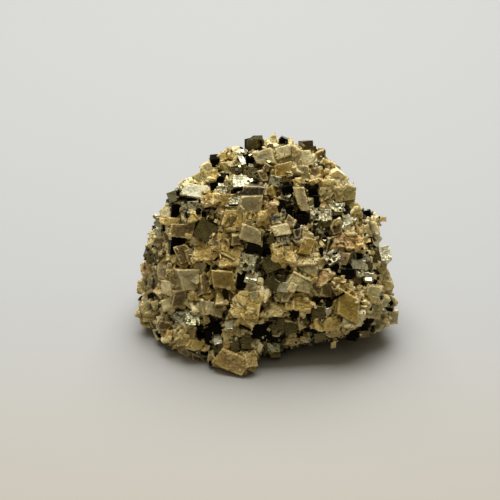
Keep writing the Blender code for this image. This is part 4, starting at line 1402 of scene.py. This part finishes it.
class Finish(Graph):
    """A material: a Principled shader and the nodes that feed it."""

    def __init__(self, name):
        self.material = bpy.data.materials.new(name)
        self.material.use_nodes = True
        super().__init__(self.material.node_tree)

    def wear(self, **sockets):
        """Feed the shader, and give the material."""
        for name, value in sockets.items():
            self.feed(self.tree.nodes["Principled BSDF"].inputs[name.replace("_", " ")], value)
        return self.material

    def held(self, name, output="Fac"):
        """An attribute of the mesh."""
        return self.add("ShaderNodeAttribute", output=output, attribute_name=name)

    def place(self):
        return self.add("ShaderNodeTexCoord", output="Object")

    def noise(self, place, scale, detail=3.0, roughness=0.6):
        return self.add("ShaderNodeTexNoise", {
            "Vector": place, "Scale": scale, "Detail": detail, "Roughness": roughness})

    def cells(self, place, scale, distance="EUCLIDEAN"):
        """Cells: how far a place is from a cell's heart; the other output is its own colour."""
        return self.add("ShaderNodeTexVoronoi", {"Vector": place, "Scale": scale},
                        distance=distance)

    def channel(self, colour):
        """The first channel of a colour; the other outputs are the other channels."""
        return self.add("ShaderNodeSeparateColor", {"Color": colour})

    def toned(self, colour, red, green, blue):
        """A colour with each channel multiplied by a value."""
        tone = self.add("ShaderNodeCombineColor", {"Red": red, "Green": green, "Blue": blue})
        return self.blend(1.0, colour, tone, "MULTIPLY")

    def tilted(self, cell, lean):
        """The surface's normal, leaned another way in each cell, as on small stepped facets."""
        away = self.scaled(self.vector("SUBTRACT", cell, CELL_MIDDLE), lean)
        straight = self.add("ShaderNodeNewGeometry", output="Normal")
        leaned = self.vector("ADD", straight, away)
        return self.add("ShaderNodeVectorMath", {0: leaned}, operation="NORMALIZE")

    def relief(self, normal, *layers):
        """Bump layers laid over a normal: height and depth in metres."""
        for height, depth in layers:
            normal = self.add("ShaderNodeBump", {"Height": height, "Distance": depth,
                                                 "Strength": 1.0, "Normal": normal})
        return normal


# Colours of the tan finish, and the scales of its patterns, in repeats per metre. Two sets of
# cleavage lines run along and across the crystal, each stretched one way, per mm.
SUGAR_WHITE = (232, 216, 164)
GOLD_RIM = (206, 174, 88)
PALE_RIM = (230, 211, 152)
OCHRE_RUST = (190, 156, 76)
CRACK_TONE = (0.30, 0.27, 0.20)
VEIN_CREAM = (238, 220, 166)
DARK_SPECK = (52, 42, 22)
# partly pale ridges, partly a painted highlight: the cream laid on the convex crests of the skin
CREST_CREAM_AND_HIGHLIGHT = (232, 214, 158)
# painted shade: the near-black brown laid into the hollows of the skin
HOLLOW_PAINTED_SHADE = (34, 26, 12)
TAN_PATCH = 150.0
TAN_CLOUD = 260.0
TAN_RUST = 420.0
TAN_SPECK = 800.0
TAN_GRAIN = 1500.0
CLEAVAGES = ((0.5, 2.2, 2.2), (2.2, 0.6, 0.6))
SEED_STRIDE = 40.0


def rhomb_material():
    """Iron carbonate: clear dull middles, pale sugary edges, ochre stain, dark specks, painted
    shade in hollows and a painted highlight on crests.
    """
    look = Finish("tan_crystal")
    stain = look.held("stain", "Color")
    frost = look.held("frost")
    rim = look.held("rim")
    seed = look.held("seed")
    hollow = look.held("hollow")
    place = look.vector("ADD", look.place(), seed)
    patch = look.noise(place, TAN_PATCH, 2.0)
    cloud = look.noise(place, TAN_CLOUD)
    fine = look.noise(place, TAN_GRAIN)
    grain = look.cells(place, TAN_GRAIN)
    sugar = grain.output("Color")
    sparkle = look.channel(sugar)
    shade = cloud * 0.9 + fine * 0.6 - look.held("core") * 0.42 + 0.53
    shade = shade + (sparkle - MIDDLE_SHARE) * (frost * 0.36 + 0.1)
    gold = (rim + patch * 0.9 + fine * 0.3).above(0.85, 1.25)
    gold = gold * look.channel(stain).above(0.04, 0.2)
    pale = (rim * 0.7 - hollow * 9.0 + fine * 0.7 + patch * 0.7).above(1.05, 1.65)
    rust = look.noise(place, TAN_RUST, 4.0).above(0.54, 0.70)
    base = look.coats(look.toned(stain, shade, shade, shade),
                      (sparkle.above(0.66, 0.95) * frost * 0.4, SUGAR_WHITE),
                      (gold * frost.above(0.1, 0.2) * 0.45, GOLD_RIM),
                      (pale * 0.75, PALE_RIM),
                      (rust * (frost * 0.45 + 0.12), OCHRE_RUST))
    cleaved = [look.noise(look.add("ShaderNodeVectorMath", {
        0: look.held("own", "Vector"), 1: stretch, 2: seed * SEED_STRIDE},
        operation="MULTIPLY_ADD"), 1.0, 4.0, 0.7) for stretch in CLEAVAGES]
    cracks = cleaved[0].above(0.62, 0.68) + cleaved[1].above(0.62, 0.68)
    veins = (cleaved[0] * -1.0).above(-0.40, -0.34)
    specks = look.noise(place, TAN_SPECK, 2.0).above(0.66, 0.72)
    # the convex crests: cream goes on them, partly pale ridges and partly a painted highlight
    # along the edges
    crest = (hollow * -1.0 + fine * 0.03).above(0.035, 0.075)
    base = look.blend(cracks * (0.55 - frost * 0.5), base,
                      look.blend(1.0, base, CRACK_TONE, "MULTIPLY"))
    base = look.coats(base, (veins * (0.4 - frost * 0.4), VEIN_CREAM), (specks * 0.6, DARK_SPECK),
                      (crest * (frost * 0.4 + 0.3), CREST_CREAM_AND_HIGHLIGHT),
                      # painted shade: the hollows darkened towards near-black brown
                      (hollow.above(0.004, 0.06) * 0.9, HOLLOW_PAINTED_SHADE))
    return look.wear(
        Base_Color=base,
        Roughness=fine * 0.3 + frost * 0.1 + 0.2,
        Normal=look.relief(look.tilted(sugar, frost * 0.45 + 0.1), (cloud, 0.0004),
                           (cracks * (frost - 1.0), 0.00016),
                           (grain * (frost + 0.2), 0.00018), (fine, 0.00012)),
    )


RHOMB = rhomb_material()
HALF_WAY = 18.0
MIDDLE_FROM = 9.0
UPPER_FROM = 28.0


def faces_front(crystal):
    return crystal.middle.dot(OUT) > HALF_WAY


def tan_piece(crystal):
    """The piece a tan crystal belongs to, each light enough to export."""
    if not faces_front(crystal):
        return "tan_crystals_back"
    height = crystal.middle.dot(UP)
    if height > UPPER_FROM:
        return "tan_crystals_upper"
    return "tan_crystals_middle" if height > MIDDLE_FROM else "tan_crystals_lower"


def dress(name, mesh):
    """A finished mesh as a piece that stands for the specimen."""
    mesh.name = name
    piece = add_object(name, mesh)
    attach(piece, "root")
    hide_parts(SPECIMEN)


def crystal_pieces(mineral, material, piece_of, build, looks):
    """The pieces of one mineral, those of the front first."""
    for front in (True, False):
        clusters = {}
        for crystal in LARGE + SMALL:
            if crystal.mineral != mineral or faces_front(crystal) != front:
                continue
            bm = worn_block(crystal, looks)
            if bm is not None:
                clusters.setdefault(piece_of(crystal), Cluster()).take(crystal, bm, looks)
                bm.free()
        for name, cluster in clusters.items():
            mesh = build(cluster, name)
            mesh.materials.clear()
            mesh.materials.append(material)
            dress(name, mesh)


crystal_pieces("rhomb", RHOMB, tan_piece, tan_skin, LOOKS)


# ---------------------------------------------------------------------------------------------
# The pyrite cubes. Brassy metal cubes with mirror faces, many of them stepped and pitted, some
# tarnished dark, their dark colour partly a painted dark reflection of the room, and the bright
# ones painted paler than brass, a painted highlight. They grew into the tan crystals and into
# each other, and are two pieces, one of the front and one of the back.
# ---------------------------------------------------------------------------------------------

# The colour of the dust on the faces, the scales of the patterns in repeats per metre, and those
# of the growth lines and of the tiles of a pitted face, per mm.
DUST = (150, 128, 78)
METAL_CLOUD = 500.0
METAL_DUST = 650.0
METAL_GRAIN = 2600.0
GROWTH_LINES = 3.0
TILES = 1.5


def cube_piece(crystal):
    return "pyrite_cubes_front" if faces_front(crystal) else "pyrite_cubes_back"


def cube_faces(cluster, name):
    """The blocks as they are, with what the pyrite finish reads."""
    mesh = cluster.mesh(name)
    own = [0.0] * (3 * len(mesh.vertices))
    facing = []
    for polygon, crystal in zip(mesh.polygons, cluster.owners):
        facing.extend(abs(polygon.normal.dot(axis)) for axis in crystal.axes)
        for index in polygon.vertices:
            own[3 * index:3 * index + 3] = crystal.own_place(cluster.places[index])
    stains = [channel for stain in cluster.stains for channel in stain]
    write_attributes(mesh, "FACE", stain=("FLOAT_COLOR", stains),
                     frost=("FLOAT", [crystal.frost for crystal in cluster.owners]),
                     seed=("FLOAT", [crystal.seed for crystal in cluster.owners]),
                     facing=("FLOAT_VECTOR", facing))
    write_attributes(mesh, "POINT", own=("FLOAT_VECTOR", own))
    return mesh


def pyrite_material():
    """Pyrite: a metal mirror, stepped like tiles where it is pitted, with dust, and tarnish that
    is partly painted reflection.
    """
    look = Finish("pyrite")
    frost = look.held("frost")
    seed = look.held("seed")
    own = look.held("own", "Vector")
    place = look.vector("ADD", look.place(), seed)
    along = look.part(own)
    facing = look.part(look.held("facing", "Vector"))
    lines = [look.noise(look.add("ShaderNodeCombineXYZ", {
        "X": along.output(axis) * GROWTH_LINES, "Y": seed * SEED_STRIDE}), 1.0, 2.0)
        * facing.output((axis + 1) % 3) for axis in range(3)]
    steps = lines[0] + lines[1] + lines[2]
    cloud = look.noise(place, METAL_CLOUD)
    fine = look.noise(place, METAL_GRAIN, 2.0)
    tiles = look.cells(own, TILES, "CHEBYCHEV")
    joint = tiles.above(0.40, 0.52)
    tile = tiles.output("Color")
    shade = 1.0 - frost * (look.channel(tile) * 0.45 + joint * 0.7)
    dust = look.noise(place, METAL_DUST, 4.0).above(0.60, 0.72)
    # the stain holds each cube's finish colour, partly painted light: a painted highlight on the
    # bright cubes and a painted dark reflection on the dark and black ones
    base = look.coats(look.toned(look.held("stain", "Color"), shade, shade, shade * 0.96),
                      (dust * (frost * 0.7), DUST))
    return look.wear(
        Base_Color=base,
        Metallic=1.0 - frost * 0.45,
        Roughness=frost * 0.26 + fine * 0.12 + dust * 0.3 + 0.13,
        Normal=look.relief(look.tilted(tile, frost * 0.4 + 0.06), (steps, 0.00012),
                           (cloud, 0.00006), (fine * frost, 0.00010)),
    )


PYRITE = pyrite_material()
crystal_pieces("pyrite", PYRITE, cube_piece, cube_faces, LOOKS)


# ---------------------------------------------------------------------------------------------
# The matrix. Between the crystals the massive rock shows: fine grains of both minerals, dark in
# the gaps and stained with rust, and broken off flat and rough where the specimen was split away.
# ---------------------------------------------------------------------------------------------

CHIPS = [
    [(-24, 8, 2.2), (-17, 4, 2.4), (-14, 13, 2.2), (-21, 17, 1.9), (-33, 6, -0.5),
     (-22, -7, -0.5), (-6, 1, -0.5), (-8, 19, -0.5), (-20, 27, -0.5), (-31, 18, -0.5)],
    [(13, 14, 2.4), (20, 8, 2.0), (20, 17, 2.2), (5, 12, -0.5), (14, 0, -0.5), (28, 3, -0.5),
     (29, 18, -0.5), (17, 27, -0.5), (6, 22, -0.5)],
    [(2, -14, 1.6), (7, -12, 1.8), (3, -9, 1.5), (-6, -16, -0.5), (2, -21, -0.5),
     (14, -14, -0.5), (11, -5, -0.5), (-1, -4.5, -0.5)],
]
BELOW = [(x, y, z) for x in (-80, 80) for y in (-80, 80) for z in (-20, 0)]

# In mm: the facets of the crust, how far it sinks, how rough it is at two lengths, and how high
# the underside's own relief begins.
CRUST_STEP = 0.6
CRUST_SINK = 0.25
CRUST_ROUGH = 0.45
CRUST_ROUGH_LENGTH = 2.2
CRUST_GRAIN = 0.55
CRUST_GRAIN_LENGTH = 0.7
UNDERSIDE = 0.35

# Colours of the two minerals' grains, by place on a ramp, and the scales in repeats per metre.
CARBONATE_TINTS = [(0.0, (84, 66, 38)), (0.45, (134, 108, 64)), (0.8, (164, 138, 88)),
                   (1.0, (196, 176, 128))]
METAL_TINTS = [(0.0, (40, 36, 30)), (0.6, (112, 104, 76)), (1.0, (200, 188, 140))]
CRUST_RUST = (150, 100, 44)
CRUST_DARK = (40, 32, 20)
CRUST_CELLS = 620.0
CRUST_CLOUD = 160.0
CRUST_STAIN = 300.0
CRUST_FINE = 2400.0


def crust_mesh():
    """The lumps with the underside cut flat and chipped, in fine even facets."""
    base = bpy.data.meshes.new("matrix_crust")
    MASS.to_mesh(base)
    obj = add_object("matrix_crust", base)
    guides = combine(obj, "DIFFERENCE", {
        f"cut_{number}": corners for number, corners in enumerate([BELOW] + CHIPS)})
    shape = even_facets(obj, CRUST_STEP)
    for guide in guides:
        bpy.data.objects.remove(guide, do_unlink=True)
    return shape


def roughen(mesh):
    """Sink and roughen the crust; the underside only ever goes up."""
    moved = []
    for vert in mesh.vertices:
        place = vert.co / MM
        rough = noise.noise(place / CRUST_ROUGH_LENGTH) * CRUST_ROUGH
        rough += noise.noise(place / CRUST_GRAIN_LENGTH) * CRUST_GRAIN
        if place.z < UNDERSIDE:
            place.z = max(0.0, abs(rough) - CRUST_SINK / 2)
        else:
            place += vert.normal * (rough - CRUST_SINK)
            place.z = max(place.z, 0.0)
        moved.append(place)
    move_to(mesh, moved)


def crust_material():
    """Broken grains of both minerals, each with its own shade, and rust between them."""
    look = Finish("matrix")
    place = look.place()
    gaps = look.cells(place, CRUST_CELLS)
    grains = gaps.output("Color")
    kind = look.channel(grains)
    other = kind.output(1)
    cloud = look.noise(place, CRUST_CLOUD)
    fine = look.noise(place, CRUST_FINE)
    carbonate = look.ramp(other, CARBONATE_TINTS)
    metal = look.ramp(other, METAL_TINTS)
    brassy = (kind + cloud * 1.4).above(1.05, 1.12)
    rust = look.noise(place, CRUST_STAIN, 4.0).above(0.54, 0.66) * (1.0 - brassy)
    base = look.coats(look.blend(brassy, carbonate, metal), (rust * 0.7, CRUST_RUST),
                      (fine.above(0.55, 0.75) * 0.4, CRUST_DARK))
    return look.wear(
        Base_Color=base,
        Metallic=brassy,
        Roughness=0.62 - brassy * 0.3 + fine * 0.1,
        Normal=look.relief(look.tilted(grains, 0.5), (gaps, 0.0004), (fine, 0.0002)),
    )


crust = crust_mesh()
roughen(crust)
crust.materials.clear()
crust.materials.append(crust_material())
dress("matrix_crust", crust)


# ---------------------------------------------------------------------------------------------
# Grains. Sugary grains of the tan mineral and thin plates of it crust whole patches, and fine
# pyrite cubes crowd in others. They grew on the crystals they cover.
# ---------------------------------------------------------------------------------------------

# Patches of the front with sugary ochre crusts: u, v, radius.
SUGAR_PATCHES = [
    (-12, 37, 7), (-19, 37.5, 5), (-15, 40.5, 5), (11, 66.5, 5), (-16, 24.5, 5), (-21, 10.5, 5),
    (37, 28, 6), (-10, 47.5, 5), (5.6, 37.6, 4), (-1.5, 48.5, 4), (14.6, 59, 4),
    (-28.9, 47.3, 4), (11, 35.8, 5), (9.8, 21.8, 4), (-6, 22, 5), (24.6, 42.5, 5), (-14, 53.5, 4),
]

# In mm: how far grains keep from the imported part's box and from the table, and how near to a
# crystal's face a point has to be to lie on it. Grains are scarce on a bare crystal, and as
# scarce on a cube as its finish says.
BOX_MARGIN = 0.9
FLOOR_MARGIN = 1.2
OWNER_NEAR = 0.08
BARE_SHARE = 0.06
CUBES_ON = {"black": 0.2, "dark": 0.3, "bright": 0.0, "green": 0.25, "pitted": 0.4}
CRUSTED = ("ochre", "orange", "tan")


def within_box(point):
    """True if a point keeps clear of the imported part's box and of the table."""
    sides = all(BOX_LOW[axis] + BOX_MARGIN < point[axis] < BOX_HIGH[axis] - BOX_MARGIN
                for axis in range(3))
    return sides and point.z > FLOOR_MARGIN


def owner_of(point):
    """The large crystal on whose surface a point lies, or None on the mass."""
    nearest = OWNER_NEAR
    owner = None
    for crystal in LARGE:
        width, height, depth = crystal.width, crystal.height, crystal.depth
        if (point - crystal.middle).length_squared > width ** 2 + height ** 2 + depth ** 2:
            continue
        x, y, z = crystal.own_place(point)
        off = abs(max(abs(x - crystal.skew * y) - width / 2, abs(y) - height / 2, z, -depth - z))
        if off < nearest:
            nearest = off
            owner = crystal
    return owner


def cover_of(face):
    """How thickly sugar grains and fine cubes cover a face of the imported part."""
    if not all(within_box(vert.co) for vert in face.verts):
        return 0.0, 0.0
    middle = face.calc_center_median()
    worn = owner_of(middle)
    sugar = patchiness(middle, face.normal, SUGAR_PATCHES, -1)
    druse = patchiness(middle, face.normal, PYRITE_PATCHES, 1)
    if worn is not None:
        sugar *= 1.0 if worn.finish in CRUSTED else BARE_SHARE
        druse *= BARE_SHARE if worn.mineral == "rhomb" else CUBES_ON[worn.finish]
    return sugar, druse


def grain_ground():
    """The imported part's surface, with how thickly each kind of grain covers each face."""
    bmesh.ops.triangulate(CAD, faces=CAD.faces[:])
    sugar, druse = zip(*(cover_of(face) for face in CAD.faces))
    mesh = bpy.data.meshes.new("grain_ground")
    for vert in CAD.verts:
        vert.co *= MM
    CAD.to_mesh(mesh)
    write_attributes(mesh, "FACE", sugar=("FLOAT", sugar), druse=("FLOAT", druse))
    return mesh


def random_between(graph, low, high, seed):
    """A random value, or vector, for each grain."""
    if isinstance(low, tuple):
        return graph.add("FunctionNodeRandomValue", {0: low, 1: high, 8: seed},
                         data_type="FLOAT_VECTOR")
    return graph.add("FunctionNodeRandomValue", {2: low, 3: high, 8: seed}, output=1,
                     data_type="FLOAT")


def grain_tree(name, shape, tints):
    """Crystal grains strewn over a surface."""
    tree = bpy.data.node_groups.new(name, "GeometryNodeTree")
    graph = Graph(tree)
    for title, kind in (("Ground", "Geometry"), ("Cover", "String"), ("Spacing", "Float"),
                        ("Thickness", "Float"), ("Smallest", "Float"), ("Largest", "Float"),
                        ("Drift", "Float"), ("Frost", "Float"), ("Seed", "Int"),
                        ("Material", "Material")):
        tree.interface.new_socket(title, in_out="INPUT", socket_type="NodeSocket" + kind)
    tree.interface.new_socket("Grains", in_out="OUTPUT", socket_type="NodeSocketGeometry")
    source = graph.add("NodeGroupInput")
    given = {socket.name: source.output(socket.name)
             for socket in source.socket.node.outputs if socket.name}
    seed = given["Seed"]
    cover = graph.add("GeometryNodeInputNamedAttribute", {"Name": given["Cover"]},
                      data_type="FLOAT")
    points = graph.add("GeometryNodeDistributePointsOnFaces", {
        "Mesh": given["Ground"], "Distance Min": given["Spacing"],
        "Density Max": given["Thickness"], "Density Factor": cover, "Seed": seed},
        distribute_method="POISSON")
    drift = graph.scaled(random_between(graph, (-1.0, -1.0, -1.0), (1.0, 1.0, 1.0), seed),
                         given["Drift"])
    points = graph.add("GeometryNodeSetPosition", {"Geometry": points, "Offset": drift})
    grains = graph.add("GeometryNodeInstanceOnPoints", {
        "Points": points, "Instance": graph.add("GeometryNodeMeshCube", {"Size": shape}),
        "Rotation": random_between(graph, (0.0, 0.0, 0.0), (math.tau, math.tau, math.tau),
                                   seed + 1.0),
        "Scale": random_between(graph, given["Smallest"], given["Largest"], seed + 2.0)})
    tint = graph.ramp(random_between(graph, 0.0, 1.0, seed + 3.0), tints)
    own_seed = random_between(graph, 0.0, 1.0, seed + 4.0)
    for title, kind, value in (("stain", "FLOAT_COLOR", tint), ("seed", "FLOAT", own_seed),
                               ("frost", "FLOAT", given["Frost"])):
        grains = graph.add("GeometryNodeStoreNamedAttribute", {
            "Geometry": grains, "Name": title, "Value": value},
            data_type=kind, domain="INSTANCE")
    grains = graph.add("GeometryNodeRealizeInstances", {"Geometry": grains})
    grains = graph.add("GeometryNodeSetMaterial", {"Geometry": grains,
                                                   "Material": given["Material"]})
    graph.add("NodeGroupOutput", {0: grains})
    return tree


def grain_piece(name, ground, shape, tints, **values):
    """Grains on the ground as a plain mesh of their own; sizes in metres, thickness per m2."""
    carrier = add_object(name + "_ground", ground)
    modifier = carrier.modifiers.new("grains", "NODES")
    modifier.node_group = grain_tree(name, shape, tints)
    for item in modifier.node_group.interface.items_tree:
        if item.in_out == "INPUT" and item.name in values:
            modifier[item.identifier] = values[item.name]
    carrier.update_tag()
    dress(name, mesh_as_built(carrier))


# The shapes of the grains, and their colours by place on a ramp.
RHOMB_SHAPE = (1.0, 0.85, 0.65)
PLATE_SHAPE = (1.0, 0.7, 0.16)
CUBE_SHAPE = (1.0, 1.0, 0.9)
RHOMB_TINTS = [(0.0, (118, 98, 60)), (0.25, (172, 148, 94)), (0.5, (196, 168, 102)),
               (0.78, (208, 184, 126)), (1.0, (226, 208, 160))]
PLATE_TINTS = [(0.0, (184, 154, 88)), (0.4, (208, 180, 108)), (0.75, (216, 192, 128)),
               (1.0, (228, 208, 156))]
CUBE_TINTS = [(0.0, (38, 34, 30)), (0.45, (72, 66, 48)), (0.75, (150, 142, 108)),
              (1.0, (232, 220, 172))]

ground = grain_ground()
grain_piece("sugar_grains", ground, RHOMB_SHAPE, RHOMB_TINTS, Cover="sugar", Spacing=0.0008,
            Thickness=300000.0, Smallest=0.0003, Largest=0.0008, Drift=0.0001, Frost=0.5, Seed=5,
            Material=RHOMB)
grain_piece("boxwork_plates", ground, PLATE_SHAPE, PLATE_TINTS, Cover="sugar", Spacing=0.0014,
            Thickness=90000.0, Smallest=0.0008, Largest=0.0026, Drift=0.0001, Frost=0.5, Seed=7,
            Material=RHOMB)
grain_piece("fine_pyrite_cubes", ground, CUBE_SHAPE, CUBE_TINTS, Cover="druse", Spacing=0.0007,
            Thickness=400000.0, Smallest=0.0003, Largest=0.0012, Drift=0.0001, Frost=0.25,
            Seed=9, Material=PYRITE)


# ---------------------------------------------------------------------------------------------
# The table and the light. A pale matt sheet, a large soft light overhead and a little behind, and
# a dim room in front, so that pyrite faces that look at the camera go dark.
# ---------------------------------------------------------------------------------------------

# In metres: the sheet, the depth over which its shade turns from near to far, and the light.
# The warmer near tint is painted light, standing in for how the light falls near the front.
FLOOR_SIZE = 3.0
FLOOR_FADE = (-0.16, 0.04)
FLOOR_NEAR_PAINTED_WARMTH = (168, 161, 147)
FLOOR_FAR = (160, 160, 160)
FLOOR_GRAIN = (170, 168, 162)
FLOOR_GRAINS = 900.0
FLOOR_ROUGHNESS = 0.7
LIGHT_SIZE = 0.75
LIGHT_PLACE = Vector((-0.01, 0.30, 0.67))
LIGHT_POWER = 10.8
LIGHT_COLOUR = (0.985, 0.998, 1.0)
ROOM_LOW = (0.080, 0.071, 0.046)
ROOM_HIGH = (0.37, 0.345, 0.27)
ROOM_RISE = (0.1, 0.9)


def floor_material():
    look = Finish("matt_sheet")
    place = look.place()
    # painted light: the sheet turns from the warmer near tint to the far one
    far = look.part(place, 1).above(*FLOOR_FADE)
    base = look.coats(look.blend(far, linear(FLOOR_NEAR_PAINTED_WARMTH), linear(FLOOR_FAR)),
                      (look.noise(place, FLOOR_GRAINS) * 0.05, FLOOR_GRAIN))
    return look.wear(Base_Color=base, Roughness=FLOOR_ROUGHNESS)


def add_floor():
    mesh = bpy.data.meshes.new("table")
    half = FLOOR_SIZE / 2
    mesh.from_pydata([(-half, -half, 0), (half, -half, 0), (half, half, 0), (-half, half, 0)],
                     [], [(0, 1, 2, 3)])
    mesh.materials.append(floor_material())
    add_object("table", mesh)


def add_light():
    data = bpy.data.lights.new("soft_box", "AREA")
    data.shape = "SQUARE"
    data.size = LIGHT_SIZE
    data.energy = LIGHT_POWER
    data.color = LIGHT_COLOUR
    light = add_object("soft_box", data)
    light.location = LIGHT_PLACE
    light.rotation_mode = "QUATERNION"
    light.rotation_quaternion = LIGHT_PLACE.to_track_quat("Z", "Y")


def add_room():
    world = bpy.data.worlds.new("room")
    world.use_nodes = True
    bpy.context.scene.world = world
    graph = Graph(world.node_tree)
    height = graph.part(graph.add("ShaderNodeTexCoord", output="Generated"), 2)
    glow = graph.blend(height.above(*ROOM_RISE), ROOM_LOW, ROOM_HIGH)
    graph.feed(graph.tree.nodes["Background"].inputs[0], glow)


add_floor()
add_light()
add_room()
bpy.context.scene.view_settings.view_transform = "Standard"

MASS.free()
CAD.free()
